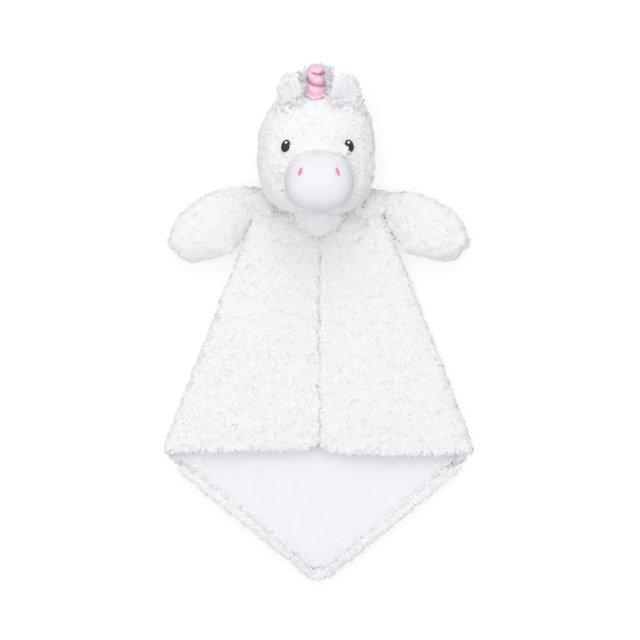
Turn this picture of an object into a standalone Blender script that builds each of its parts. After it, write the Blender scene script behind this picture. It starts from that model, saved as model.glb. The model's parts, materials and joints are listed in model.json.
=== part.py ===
"""Comfort blanket lovey: a plush unicorn head and two arms on a kite folded blanket.

The toy lies on its back. Seen from above, +X is to the right, +Y runs up to the head and
+Z is the front of the toy. Units are metres and the floor is z = 0.
"""
import math

import bmesh
import bpy
from mathutils import Vector

# Clearance between two sewn pieces
GAP = 0.0003

# Blanket: a square of plush whose side corners are folded to the front centre
HEM_Y = -0.0875
HEM_HALF_WIDTH = 0.1104
CORNER_ROUNDING = 0.002
SHOULDER_Y = 0.081
SHOULDER_HALF_WIDTH = 0.0452
TAIL_HALF_ANGLE = math.radians(50.7)
TAIL_TIP_RADIUS = 0.011
NECKLINE_HALF_WIDTH = 0.0185
PLUSH_THICKNESS = 0.0060
EDGE_THICKNESS = 0.0034
LINING_THICKNESS = 0.0012
LINING_SPACE = 0.0006
FLAP_CROWN = 0.0040
FLAP_CROWN_HEM_SHARE = 0.35
SEAM_OPENING = 0.0008
SEAM_ROUNDING = 0.0045
HEM_NOTCH = 0.0030
RIM_WIDTH = 0.0050
RIM_HEIGHT = 0.0042
RIM_START = 0.0085
RIM_END_SHARE = 0.55
RIM_SIDES = 8
RIM_POWER = 2.4
THREAD_RADIUS = 0.0006
STITCH_LENGTH = 0.0065
STITCH_SWING = 0.0006

# Neck: a ball of stuffing in a gathered tube, which the head turns and nods on
NECK_Y = 0.0825
NECK_Z = 0.0243
NECK_RADIUS = 0.0177
NECK_HALF_LENGTH = 0.0162
NECK_WALL = 0.0022

# Head: an egg of plush, blunt at the cheeks and narrower at the crown
HEAD_Y = 0.1204
HEAD_Z = 0.0365
HEAD_HALF_LENGTH = 0.0446
HEAD_HALF_WIDTH = 0.0406
HEAD_HALF_DEPTH = 0.0362
HEAD_WALL = 0.0040
CHEEK_POWER = 3.3
CROWN_POWER = 2.3
HEAD_SIDES = 20

# Muzzle: a smooth block that stands forward of the face and drops a little
MUZZLE_Y = 0.0975
MUZZLE_HALF_WIDTH = 0.0236
MUZZLE_HALF_HEIGHT = 0.0205
MUZZLE_ROOT_Z = 0.0540
MUZZLE_FRONT_Z = 0.0905
MUZZLE_DROP = 0.0030
MUZZLE_WALL = 0.0018
MUZZLE_POWER = 2.3
MUZZLE_SIDES = 20

# Embroidered eyes and nostrils
EYE_SPREAD = 0.0210
EYE_SHIFT = -0.0010
EYE_Y = 0.1202
EYE_HALF_WIDTH = 0.0032
EYE_HALF_HEIGHT = 0.0046
EYE_LEAN = math.radians(16)
GLINT_RADIUS = 0.0009
GLINT_SIDE = 0.0009
GLINT_RISE = 0.0021
NOSTRIL_SPREAD = 0.0122
NOSTRIL_Y = 0.1016
NOSTRIL_HALF_WIDTH = 0.0009
NOSTRIL_HALF_HEIGHT = 0.0030
NOSTRIL_LEAN = math.radians(20)
EMBROIDERY_THICKNESS = 0.0010
EMBROIDERY_EDGE_SHARE = 0.35

# Horn: a stuffed cone drawn in by a thread that winds up it
HORN_X = -0.0020
HORN_Y = 0.1555
HORN_Z = 0.0584
HORN_LENGTH = 0.0220
HORN_BASE_RADIUS = 0.0081
HORN_TIP_RADIUS = 0.0057
HORN_RISE = math.radians(38)
HORN_WALL = 0.0012
HORN_TURNS = 2.6
HORN_GROOVE = 0.0013
HORN_THREAD_RADIUS = 0.0005
HORN_THREAD_START_SHARE = 0.26
HORN_THREAD_END_SHARE = 0.9
HORN_THREAD_STEPS = 44
HORN_SIDES = 14

# Forelock: a tuft of locks behind the horn
FORELOCK_X = -0.0015
FORELOCK_Z = 0.0470
FORELOCK_HALF_WIDTH = 0.0092
FORELOCK_LENGTH = 0.0092
FORELOCK_THICKNESS = 0.0032
FORELOCK_SEAT = 0.0011
FORELOCK_RISE = math.radians(30)
FORELOCK_TIPS = 6
FORELOCK_FLARE_SHARE = 0.12
FORELOCK_NOTCH_SHARE = 0.72
FORELOCK_TAPER_SHARE = 0.7

# Ears: a plush back and a smooth inner face, cupped forward
EAR_SPREAD = 0.0184
EAR_Y = 0.1475
EAR_LENGTH = 0.0200
EAR_HALF_WIDTH = 0.0095
EAR_LIFT = math.radians(24)
EAR_CUP = 0.0028
EAR_LEAN_SHARE = 0.4
EAR_BACK_THICKNESS = 0.0030
EAR_INNER_THICKNESS = 0.0012
EAR_INNER_SHARE = 0.76
EAR_EDGE_SHARE = 0.6
EAR_SEAT = 0.0011

# Arms: stuffed mittens sewn flat into the shoulder seam
ARM_LENGTH = 0.0600
ARM_DROOP = math.radians(20)
ARM_HALF_WIDTH = 0.0210
ARM_HALF_THICKNESS = 0.0136
ARM_ROOT_Y = 0.0785
ARM_ROOT_Z = 0.0078
ARM_ROOT_RADIUS = 0.0060
ARM_WALL = 0.0025
ARM_WALL_SHARE = 0.6
ARM_RISE_SHARE = 0.38
ARM_SIDES = 18
ARM_POWER = 2.1

# Colours
WHITE_PLUSH = (0.90, 0.90, 0.92)
WHITE_SMOOTH = (0.92, 0.91, 0.94)
LAVENDER_WHITE = (0.86, 0.84, 0.92)
STUFFING_WHITE = (0.80, 0.80, 0.78)
HORN_PINK = (0.88, 0.52, 0.74)
THREAD_PINK = (0.57, 0.20, 0.38)
SILVER_GREY = (0.58, 0.60, 0.65)
EYE_BLACK = (0.025, 0.025, 0.032)
NOSTRIL_PINK = (0.86, 0.26, 0.38)

SIDE_NAMES = {-1: "left", 1: "right"}


def clear_scene():
    for thing in list(bpy.data.objects):
        bpy.data.objects.remove(thing, do_unlink=True)


def material(name, colour, roughness):
    made = bpy.data.materials.new(name)
    made.use_nodes = True
    shader = made.node_tree.nodes["Principled BSDF"]
    shader.inputs["Base Color"].default_value = (*colour, 1)
    shader.inputs["Roughness"].default_value = roughness
    shader.inputs["Metallic"].default_value = 0
    return made


def add_piece(name, points, faces, finish=None, pivot=(0, 0, 0)):
    """A closed piece from world points, with its origin at its pivot."""
    pivot = Vector(pivot)
    mesh = bpy.data.meshes.new(name)
    mesh.from_pydata([tuple(Vector(p) - pivot) for p in points], [], faces)
    shape = bmesh.new()
    shape.from_mesh(mesh)
    bmesh.ops.triangulate(shape, faces=shape.faces)
    bmesh.ops.recalc_face_normals(shape, faces=shape.faces)
    shape.to_mesh(mesh)
    shape.free()
    mesh.shade_smooth()
    piece = bpy.data.objects.new(name, mesh)
    piece.location = pivot
    bpy.context.scene.collection.objects.link(piece)
    if finish is not None:
        mesh.materials.append(finish)
    return piece


def cut(piece, cutter):
    """Take the cutter's space out of the piece."""
    cutter.hide_render = True
    cutter.display_type = "WIRE"
    boolean = piece.modifiers.new("cut_by_" + cutter.name, "BOOLEAN")
    boolean.operation = "DIFFERENCE"
    boolean.object = cutter


def smoothstep(value):
    value = min(1, max(0, value))
    return value * value * (3 - 2 * value)


def ring(centre, across, rise, half_width, half_height, sides, power=2.0):
    """Points round a superellipse that lies in the plane of across and rise."""
    points = []
    for step in range(sides):
        angle = 2 * math.pi * step / sides
        c = math.cos(angle)
        s = math.sin(angle)
        c = math.copysign(abs(c) ** (2 / power), c)
        s = math.copysign(abs(s) ** (2 / power), s)
        points.append(centre + across * (half_width * c) + rise * (half_height * s))
    return points


def band_faces(first, second, sides):
    """Faces between two rings that start at the point numbers first and second."""
    faces = []
    for step in range(sides):
        after = (step + 1) % sides
        faces.append((first + step, first + after, second + after, second + step))
    return faces


def fan_faces(pole, start, sides):
    return [(pole, start + step, start + (step + 1) % sides) for step in range(sides)]


def plug(name, rings, start, end, finish=None, pivot=(0, 0, 0)):
    """A solid through rings, closed at a start point and an end point."""
    sides = len(rings[0])
    points = [start] + [p for loop in rings for p in loop] + [end]
    faces = fan_faces(0, 1, sides)
    for number in range(len(rings) - 1):
        faces += band_faces(1 + number * sides, 1 + (number + 1) * sides, sides)
    faces += fan_faces(len(points) - 1, 1 + (len(rings) - 1) * sides, sides)
    return add_piece(name, points, faces, finish, pivot)


def cup(name, outer, outer_end, inner, inner_end, finish, pivot=(0, 0, 0)):
    """A cover open at its first ring: outer and inner walls, joined round the mouth."""
    sides = len(outer[0])
    points = [p for loop in outer for p in loop] + [outer_end]
    inner_start = len(points)
    points += [p for loop in inner for p in loop] + [inner_end]
    faces = []
    for number in range(len(outer) - 1):
        faces += band_faces(number * sides, (number + 1) * sides, sides)
    faces += fan_faces(inner_start - 1, (len(outer) - 1) * sides, sides)
    for number in range(len(inner) - 1):
        start = inner_start + number * sides
        faces += band_faces(start, start + sides, sides)
    faces += fan_faces(len(points) - 1, inner_start + (len(inner) - 1) * sides, sides)
    faces += band_faces(0, inner_start, sides)
    return add_piece(name, points, faces, finish, pivot)


def tube(name, path, radius, sides, finish, pivot=(0, 0, 0)):
    """A round thread along a path, with closed ends."""
    rings = []
    for number, point in enumerate(path):
        ahead = path[min(number + 1, len(path) - 1)]
        behind = path[max(number - 1, 0)]
        along = (ahead - behind).normalized()
        across = along.cross(Vector((0, 0, 1))).normalized()
        rings.append(ring(point, across, across.cross(along), radius, radius, sides))
    return plug(name, rings, path[0], path[-1], finish, pivot)


def thick_sheet(name, rows, finish, pivot=(0, 0, 0)):
    """A closed sheet from rows of (outer point, inner point); None leaves a cell out."""
    points = []
    number_of = {}
    for j, row in enumerate(rows):
        for i, pair in enumerate(row):
            if pair is not None:
                number_of[j, i] = len(points)
                points += list(pair)
    cells = []
    for j in range(len(rows) - 1):
        for i in range(len(rows[j]) - 1):
            corners = [(j, i), (j, i + 1), (j + 1, i + 1), (j + 1, i)]
            if all(corner in number_of for corner in corners):
                cells.append([number_of[corner] for corner in corners])
    faces = []
    edges = {}
    for cell in cells:
        faces.append(tuple(cell))
        faces.append(tuple(point + 1 for point in reversed(cell)))
        for start, end in zip(cell, cell[1:] + cell[:1]):
            edges[start, end] = edges.get((end, start), 0) + 1
    for start, end in edges:
        if (end, start) not in edges:
            faces.append((end, start, start + 1, end + 1))
    return add_piece(name, points, faces, finish, pivot)


# Blanket

def fold_half_width(y):
    """Half width of the folded body, from the hem up to the shoulders."""
    share = (y - HEM_Y) / (SHOULDER_Y - HEM_Y)
    return HEM_HALF_WIDTH + (SHOULDER_HALF_WIDTH - HEM_HALF_WIDTH) * share


def tail_tip_y(inset):
    """Height of the tail's tip, or of an outline that lies inset from its edge."""
    apex = HEM_Y - HEM_HALF_WIDTH / math.tan(TAIL_HALF_ANGLE)
    apex += inset / math.sin(TAIL_HALF_ANGLE)
    radius = TAIL_TIP_RADIUS - inset
    return apex + radius / math.sin(TAIL_HALF_ANGLE) - radius


def tail_half_width(y, inset):
    """Half width of the tail, whose tip is rounded and whose edges are straight."""
    radius = TAIL_TIP_RADIUS - inset
    rise = y - tail_tip_y(inset)
    if rise < radius * (1 - math.sin(TAIL_HALF_ANGLE)):
        return math.sqrt(max(0, radius ** 2 - (radius - rise) ** 2))
    apex = HEM_Y - HEM_HALF_WIDTH / math.tan(TAIL_HALF_ANGLE)
    apex += inset / math.sin(TAIL_HALF_ANGLE)
    return (y - apex) * math.tan(TAIL_HALF_ANGLE)


def smaller(first, second):
    """The smaller of two widths, with the corner between them rounded."""
    total = math.exp(-first / CORNER_ROUNDING) + math.exp(-second / CORNER_ROUNDING)
    return -CORNER_ROUNDING * math.log(total)


def blanket_half_width(y):
    return smaller(fold_half_width(y), tail_half_width(y, 0))


def neckline_y():
    """Lowest point of the neckline, just clear of the neck's ball above the flaps."""
    flap_top = PLUSH_THICKNESS * 2 + lining_pocket()
    below = NECK_Z - flap_top
    reach = math.sqrt(NECK_RADIUS ** 2 - below ** 2)
    return NECK_Y - reach - 2 * GAP


def lining_pocket():
    """Space between the back and the front plush, filled by two layers of lining."""
    return 2 * LINING_THICKNESS + LINING_SPACE + 2 * GAP


def top_drop(x, share):
    """How far a row near the shoulders drops for the neckline."""
    bowl = math.exp(-(x / NECKLINE_HALF_WIDTH) ** 4)
    return (SHOULDER_Y - neckline_y()) * bowl * share ** 4


BODY_ROW_SHARES = (0, 0.035, 0.1, 0.22, 0.36, 0.5, 0.64, 0.76, 0.86, 0.94, 1)
TAIL_ROW_SHARES = (0.004, 0.03, 0.08, 0.2, 0.4, 0.6, 0.8, 0.91)
BACK_SHARES = (0, 0.25, 0.5, 0.75, 1)
FRONT_SHARES = (0.85, 0.6, 0.38)
PLUSH_FOLD_SHARES = (0.25, 0.5, 0.75, 1)
PLUSH_TAIL_FOLDS = 2
LINING_FOLD_SHARES = (0.5, 1)
CROWN_COLUMN_SHARES = (0.1, 0.5, 1, 1, 0.7, 0)
NOTCH_COLUMN_SHARES = (0, 0, 0, 0, 0.3, 1)


def wrap_column(column, half, fold_radius, back_z, fold_shares):
    """Place on the folded cross-section: x, z, outward direction and place across."""
    front_z = back_z + 2 * fold_radius
    flat = half
    if column < len(BACK_SHARES):
        return flat * BACK_SHARES[column], back_z, (0, -1)
    column -= len(BACK_SHARES)
    if column < len(fold_shares):
        angle = math.pi * fold_shares[column]
        x = flat + fold_radius * math.sin(angle)
        z = back_z + fold_radius * (1 - math.cos(angle))
        return x, z, (math.sin(angle), -math.cos(angle))
    column -= len(fold_shares)
    if column < len(FRONT_SHARES):
        return flat * FRONT_SHARES[column], front_z, (0, 1)
    column -= len(FRONT_SHARES)
    if column == 0:
        return SEAM_ROUNDING, front_z, (0, 1)
    return SEAM_OPENING / 2, front_z, (0, 1)


def blanket_rows(thickness, back_z, fold_radius, fold_shares, crown, inset):
    """Rows of outer and inner points, from the tail's tip to the shoulders."""
    outer_radius = PLUSH_THICKNESS + lining_pocket() / 2
    count = len(BACK_SHARES) + len(fold_shares) + len(FRONT_SHARES) + 2
    front_start = count - len(FRONT_SHARES) - 3
    tail_columns = len(BACK_SHARES) + (PLUSH_TAIL_FOLDS if inset == 0 else 0)
    rows = []
    for share in TAIL_ROW_SHARES:
        y = tail_tip_y(inset) + (HEM_Y - tail_tip_y(inset)) * share
        half = tail_half_width(y, inset)
        if inset == 0:
            half = blanket_half_width(y)
        row = []
        for column in range(count):
            if column >= tail_columns:
                row.append(None)
                continue
            across = column / (tail_columns - 1)
            if column < len(BACK_SHARES) and inset == 0:
                across = BACK_SHARES[column] * max(0.5, 1 - outer_radius / half)
            elif inset == 0:
                start = max(0.5, 1 - outer_radius / half)
                across = start + (1 - start) * (column - len(BACK_SHARES) + 1) / PLUSH_TAIL_FOLDS
            else:
                across = BACK_SHARES[column]
            depth = thickness / 2
            if inset == 0 and (column == tail_columns - 1 or share == TAIL_ROW_SHARES[0]):
                depth = EDGE_THICKNESS / 2
            x = half * across
            row.append((Vector((x, y, back_z - depth)), Vector((x, y, back_z + depth))))
        rows.append(row)
    for share in BODY_ROW_SHARES:
        y = HEM_Y + (SHOULDER_Y - HEM_Y) * share
        flat = blanket_half_width(y) - outer_radius
        row = []
        for column in range(count):
            x, z, outward = wrap_column(column, flat, fold_radius, back_z, fold_shares)
            depth = thickness / 2
            front = column - front_start
            extra = 0
            lift = 0
            if front >= 0:
                fade = smoothstep(share / BODY_ROW_SHARES[2]) * smoothstep(3 * (1 - share))
                fade = FLAP_CROWN_HEM_SHARE + (1 - FLAP_CROWN_HEM_SHARE) * fade
                extra = crown * CROWN_COLUMN_SHARES[front] * fade
                lift = HEM_NOTCH * NOTCH_COLUMN_SHARES[front] * (share == 0)
            place_y = y - top_drop(x, share) + lift
            middle = Vector((x, place_y, z))
            direction = Vector((outward[0], 0, outward[1]))
            row.append((middle + direction * (depth + extra), middle - direction * depth))
        rows.append(row)
    return rows


def mirrored(rows):
    """Both halves of a folded sheet, joined along the middle of its back."""
    both = []
    for row in rows:
        other = []
        for pair in reversed(row[1:]):
            if pair is None:
                other.append(None)
            else:
                other.append(tuple(Vector((-p.x, p.y, p.z)) for p in pair))
        both.append(other + row)
    return both


def make_blanket(plush, smooth, thread):
    back_z = PLUSH_THICKNESS / 2
    fold_radius = (PLUSH_THICKNESS + lining_pocket()) / 2
    rows = blanket_rows(PLUSH_THICKNESS, back_z, fold_radius, PLUSH_FOLD_SHARES, FLAP_CROWN, 0)
    thick_sheet("blanket_plush", mirrored(rows), plush)

    lining_z = PLUSH_THICKNESS + GAP + LINING_THICKNESS / 2
    lining_fold = (LINING_THICKNESS + LINING_SPACE) / 2
    rows = blanket_rows(
        LINING_THICKNESS, lining_z, lining_fold, LINING_FOLD_SHARES, 0, RIM_WIDTH + 2 * GAP
    )
    thick_sheet("blanket_lining", mirrored(rows), smooth)
    make_tail_rim(plush)
    make_centre_seam(thread)


def tail_rim_path():
    """Middle line of the turned-up edge: down one side, round the tip, up the other."""
    inset = RIM_WIDTH / 2 + GAP
    radius = TAIL_TIP_RADIUS - inset
    tip = tail_tip_y(inset)
    centre = Vector((0, tip + radius, 0))
    edge = Vector((math.sin(TAIL_HALF_ANGLE), math.cos(TAIL_HALF_ANGLE), 0))
    outward = Vector((math.cos(TAIL_HALF_ANGLE), -math.sin(TAIL_HALF_ANGLE), 0))
    turn = centre + outward * radius
    length = (HEM_Y - RIM_START - turn.y) / edge.y
    right = [turn + edge * (length * share) for share in (1, 0.8, 0.6, 0.4, 0.2, 0)]
    arc = []
    for share in (0.33, 0.66):
        angle = (math.pi / 2 - TAIL_HALF_ANGLE) * (1 - share)
        arc.append(centre + Vector((math.sin(angle), -math.cos(angle), 0)) * radius)
    half = right + arc
    mirror = [Vector((-p.x, p.y, p.z)) for p in reversed(half)]
    return half + [Vector((0, tip, 0))] + mirror


def make_tail_rim(plush):
    path = tail_rim_path()
    lift = Vector((0, 0, PLUSH_THICKNESS + GAP + RIM_HEIGHT / 2))
    rings = []
    for number, point in enumerate(path):
        ahead = path[min(number + 1, len(path) - 1)]
        behind = path[max(number - 1, 0)]
        along = (ahead - behind).normalized()
        across = Vector((along.y, -along.x, 0))
        full = RIM_END_SHARE if number in (0, len(path) - 1) else 1
        rings.append(
            ring(point + lift, across, Vector((0, 0, 1)), RIM_WIDTH / 2 * full,
                 RIM_HEIGHT / 2 * full, RIM_SIDES, RIM_POWER)
        )
    plug("tail_rim", rings, path[0] + lift, path[-1] + lift, plush)


def make_centre_seam(thread):
    """Ladder stitches that lie in the groove between the two flaps."""
    top = PLUSH_THICKNESS * 2 + lining_pocket() + GAP + THREAD_RADIUS
    start = HEM_Y + HEM_NOTCH + STITCH_LENGTH / 2
    count = int((neckline_y() - STITCH_LENGTH / 2 - start) / STITCH_LENGTH)
    path = []
    for number in range(2 * count + 1):
        swing = STITCH_SWING * (-1) ** (number // 2)
        path.append(Vector((swing, start + STITCH_LENGTH * number / 2, top)))
    tube("centre_seam_thread", path, THREAD_RADIUS, 5, thread)


# Neck

NECK_RING_SHARES = (-1, -0.9, -0.7, -0.4, 0, 0.4, 0.7, 0.9, 1)


def make_neck(plush, stuffing, pivot):
    """A gathered tube round a ball of stuffing, open towards the body and the head."""
    sides = 20
    across = Vector((1, 0, 0))
    rise = Vector((0, 0, 1))
    outer = []
    inner = []
    filling = []
    for share in NECK_RING_SHARES:
        offset = NECK_HALF_LENGTH * share
        centre = pivot + Vector((0, offset, 0))
        wide = math.sqrt(NECK_RADIUS ** 2 - offset ** 2)
        outer.append(ring(centre, across, rise, wide, wide, sides))
        narrow = wide - NECK_WALL
        inner.append(ring(centre, across, rise, narrow, narrow, sides))
        filled = narrow - GAP
        filling.append(ring(centre, across, rise, filled, filled, sides))
    loops = outer + inner[::-1]
    points = [p for loop in loops for p in loop]
    faces = []
    for number in range(len(loops)):
        after = (number + 1) % len(loops)
        faces += band_faces(number * sides, after * sides, sides)
    add_piece("neck_cover", points, faces, plush, pivot)
    reach = Vector((0, NECK_HALF_LENGTH, 0))
    plug("neck_stuffing", filling, pivot - reach, pivot + reach, stuffing, pivot)


# Head

def head_profile(y, shrink):
    """Half width and half depth of the head at a height, and whether it is there."""
    length = HEAD_HALF_LENGTH - shrink
    share = (y - HEAD_Y) / length
    power = CROWN_POWER if share > 0 else CHEEK_POWER
    size = max(0, 1 - abs(share) ** power) ** (1 / power)
    depth = max(0, 1 - abs(share) ** CROWN_POWER) ** (1 / CROWN_POWER)
    return (HEAD_HALF_WIDTH - shrink) * size, (HEAD_HALF_DEPTH - shrink) * depth


HEAD_RING_SHARES = (-0.985, -0.93, -0.84, -0.7, -0.52, -0.3, -0.08, 0.14, 0.36, 0.55, 0.72, 0.85,
                    0.94, 0.985)


def head_egg(name, shrink, finish=None, pivot=(0, 0, 0)):
    length = HEAD_HALF_LENGTH - shrink
    rings = []
    for share in HEAD_RING_SHARES:
        y = HEAD_Y + length * share
        wide, deep = head_profile(y, shrink)
        centre = Vector((0, y, HEAD_Z))
        rings.append(ring(centre, Vector((1, 0, 0)), Vector((0, 0, 1)), wide, deep, HEAD_SIDES))
    start = Vector((0, HEAD_Y - length, HEAD_Z))
    end = Vector((0, HEAD_Y + length, HEAD_Z))
    return plug(name, rings, start, end, finish, pivot)


def head_front(x, y):
    """The point of the head's front surface at a place across and up the face."""
    wide, deep = head_profile(y, 0)
    inside = max(0, 1 - (x / wide) ** 2)
    return HEAD_Z + deep * math.sqrt(inside)


MUZZLE_RING_SHARES = (0, 0.35, 0.6, 0.76, 0.88, 0.96)
MUZZLE_SIZE_SHARES = (0.96, 1.0, 0.985, 0.9, 0.71, 0.42)


def muzzle_rings(shrink):
    """Rings of the muzzle from deep inside the head to its rounded front."""
    root = MUZZLE_ROOT_Z + shrink
    reach = MUZZLE_FRONT_Z - shrink - root
    rings = []
    for share, size in zip(MUZZLE_RING_SHARES, MUZZLE_SIZE_SHARES):
        centre = Vector((0, MUZZLE_Y - MUZZLE_DROP * share, root + reach * share))
        wide = MUZZLE_HALF_WIDTH * size - shrink
        high = MUZZLE_HALF_HEIGHT * size - shrink
        rings.append(ring(centre, Vector((1, 0, 0)), Vector((0, 1, 0)), wide, high,
                          MUZZLE_SIDES, MUZZLE_POWER))
    front = Vector((0, MUZZLE_Y - MUZZLE_DROP, root + reach))
    return rings, front


def muzzle_form(name, shrink, finish=None, pivot=(0, 0, 0)):
    rings, front = muzzle_rings(shrink)
    return plug(name, rings, Vector((0, MUZZLE_Y, MUZZLE_ROOT_Z + shrink)), front, finish, pivot)


def muzzle_front(x, y):
    """Front surface of the muzzle, read between its rings."""
    reach = MUZZLE_FRONT_Z - MUZZLE_ROOT_Z
    low, high = MUZZLE_RING_SHARES[1], 1
    for _ in range(30):
        middle = (low + high) / 2
        if muzzle_size_at(middle) > muzzle_place(x, y, middle):
            low = middle
        else:
            high = middle
    return MUZZLE_ROOT_Z + reach * low


def muzzle_size_at(share):
    shares = MUZZLE_RING_SHARES + (1,)
    sizes = MUZZLE_SIZE_SHARES + (0,)
    for number in range(len(shares) - 1):
        if share <= shares[number + 1]:
            part = (share - shares[number]) / (shares[number + 1] - shares[number])
            return sizes[number] + (sizes[number + 1] - sizes[number]) * part
    return 0


def muzzle_place(x, y, share):
    """How far out of the muzzle's middle a point is, as a share of its full size."""
    across = abs(x) / MUZZLE_HALF_WIDTH
    up = abs(y - MUZZLE_Y + MUZZLE_DROP * share) / MUZZLE_HALF_HEIGHT
    return (across ** MUZZLE_POWER + up ** MUZZLE_POWER) ** (1 / MUZZLE_POWER)


def neck_socket(name, pivot):
    """A ball a little larger than the neck's, which hollows the head out to seat on it."""
    radius = NECK_RADIUS + 2 * GAP
    rings = []
    for step in range(1, 12):
        angle = math.pi * step / 12
        centre = pivot - Vector((0, radius * math.cos(angle), 0))
        wide = radius * math.sin(angle)
        rings.append(ring(centre, Vector((1, 0, 0)), Vector((0, 0, 1)), wide, wide, 24))
    reach = Vector((0, radius, 0))
    return plug(name, rings, pivot - reach, pivot + reach)


def make_head(plush, smooth, stuffing, pivot):
    socket = neck_socket("socket_cutter", pivot)
    hollow = head_egg("hollow_cutter", HEAD_WALL)
    face_opening = muzzle_form("face_cutter", -GAP)

    cover = head_egg("head_cover", 0, plush, pivot)
    cut(cover, hollow)
    cut(cover, socket)
    cut(cover, face_opening)

    filling = head_egg("head_stuffing", HEAD_WALL + GAP, stuffing, pivot)
    cut(filling, socket)

    rings, front = muzzle_rings(0)
    inner_rings, inner_front = muzzle_rings(MUZZLE_WALL)
    muzzle = cup("muzzle_cover", rings, front, inner_rings, inner_front, smooth, pivot)
    cut(muzzle, hollow)
    muzzle_filling = muzzle_form("muzzle_stuffing", MUZZLE_WALL + GAP, stuffing, pivot)
    cut(muzzle_filling, hollow)


# Embroidery

def surface_normal(front, x, y):
    """Outward direction of a front surface, from its slope over half a millimetre."""
    step = EMBROIDERY_THICKNESS / 2
    slope_x = (front(x + step, y) - front(x - step, y)) / (2 * step)
    slope_y = (front(x, y + step) - front(x, y - step)) / (2 * step)
    return Vector((-slope_x, -slope_y, 1)).normalized()


def patch(name, front, place, half_width, half_height, lean, lift, finish, pivot):
    """A domed oval of stitches that follows the surface it is sewn to."""
    rows = 2
    sides = 10
    outer = []
    inner = []
    for row in range(rows, -1, -1):
        share = row / rows
        count = sides if row else 1
        for step in range(count):
            angle = 2 * math.pi * step / sides
            across = half_width * share * math.cos(angle)
            up = half_height * share * math.sin(angle)
            x = place[0] + across * math.cos(lean) + up * math.sin(lean)
            y = place[1] - across * math.sin(lean) + up * math.cos(lean)
            base = Vector((x, y, front(x, y)))
            normal = surface_normal(front, x, y)
            dome = EMBROIDERY_EDGE_SHARE + (1 - EMBROIDERY_EDGE_SHARE) * math.sqrt(1 - share ** 2)
            dome *= EMBROIDERY_THICKNESS
            outer.append(base + normal * (lift + dome))
            inner.append(base + normal * lift)
    points = outer + inner
    offset = len(outer)
    faces = []
    for start in (0, offset):
        for row in range(rows - 1):
            faces += band_faces(start + row * sides, start + (row + 1) * sides, sides)
        faces += fan_faces(start + rows * sides, start + (rows - 1) * sides, sides)
    faces += band_faces(0, offset, sides)
    return add_piece(name, points, faces, finish, pivot)


def make_face(black, white, pink, pivot):
    for side, name in SIDE_NAMES.items():
        eye = (side * EYE_SPREAD + EYE_SHIFT, EYE_Y)
        lean = -side * EYE_LEAN
        patch("eye_" + name, head_front, eye, EYE_HALF_WIDTH, EYE_HALF_HEIGHT, lean,
              GAP, black, pivot)
        glint = (eye[0] - side * GLINT_SIDE, eye[1] + GLINT_RISE)
        lift = 2 * GAP + EMBROIDERY_THICKNESS
        patch(f"eye_{name}_glint", head_front, glint, GLINT_RADIUS, GLINT_RADIUS, 0,
              lift, white, pivot)
        nostril = (side * NOSTRIL_SPREAD, NOSTRIL_Y)
        patch("nostril_" + name, muzzle_front, nostril, NOSTRIL_HALF_WIDTH,
              NOSTRIL_HALF_HEIGHT, -side * NOSTRIL_LEAN, GAP, pink, pivot)


# Horn

HORN_RING_SHARES = tuple(step / 14 for step in range(-3, 13))
HORN_CAP_SHARES = ((0.91, 0.93), (0.96, 0.78), (0.99, 0.48))


def horn_axis():
    return Vector((0, math.cos(HORN_RISE), math.sin(HORN_RISE)))


def horn_plain_radius(share):
    return HORN_BASE_RADIUS + (HORN_TIP_RADIUS - HORN_BASE_RADIUS) * max(0, share)


def horn_radius(share, angle):
    """Radius of the horn, drawn in where the thread winds round it."""
    phase = share * HORN_TURNS - angle / (2 * math.pi)
    fade = smoothstep(5 * share) * smoothstep(8 * (1 - share))
    return horn_plain_radius(share) - HORN_GROOVE * fade * abs(math.cos(math.pi * phase)) ** 4


def horn_rings(shrink, grooved):
    axis = horn_axis()
    across = Vector((1, 0, 0))
    rise = across.cross(axis)
    base = Vector((HORN_X, HORN_Y, HORN_Z))
    rings = []
    profile = [(share, 1) for share in HORN_RING_SHARES] + list(HORN_CAP_SHARES)
    for share, size in profile:
        centre = base + axis * ((HORN_LENGTH - shrink) * share)
        loop = []
        for step in range(HORN_SIDES):
            angle = 2 * math.pi * step / HORN_SIDES
            wide = horn_radius(share, angle) if grooved else horn_plain_radius(share) - HORN_GROOVE
            wide = wide * size - shrink
            loop.append(centre + (across * math.cos(angle) + rise * math.sin(angle)) * wide)
        rings.append(loop)
    return rings, base + axis * (HORN_LENGTH - shrink)


def make_horn(pink, stuffing, thread, pivot):
    seat = head_egg("horn_seat_cutter", -GAP)
    outer, tip = horn_rings(0, True)
    inner, inner_tip = horn_rings(HORN_WALL, False)
    cover = cup("horn_cover", outer, tip, inner, inner_tip, pink, pivot)
    cut(cover, seat)
    rings, end = horn_rings(HORN_WALL + GAP, False)
    start = Vector((HORN_X, HORN_Y, HORN_Z)) + horn_axis() * (HORN_LENGTH * HORN_RING_SHARES[0])
    filling = plug("horn_stuffing", rings, start, end, stuffing, pivot)
    cut(filling, seat)

    axis = horn_axis()
    across = Vector((1, 0, 0))
    rise = across.cross(axis)
    base = Vector((HORN_X, HORN_Y, HORN_Z))
    path = []
    wound = HORN_THREAD_END_SHARE - HORN_THREAD_START_SHARE
    for step in range(HORN_THREAD_STEPS + 1):
        share = HORN_THREAD_START_SHARE + wound * step / HORN_THREAD_STEPS
        angle = 2 * math.pi * share * HORN_TURNS
        wide = horn_radius(share, angle) + HORN_THREAD_RADIUS + 2 * GAP
        out = across * math.cos(angle) + rise * math.sin(angle)
        path.append(base + axis * (HORN_LENGTH * share) + out * wide)
    tube("horn_thread", path, HORN_THREAD_RADIUS, 5, thread, pivot)


# Forelock

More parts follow.
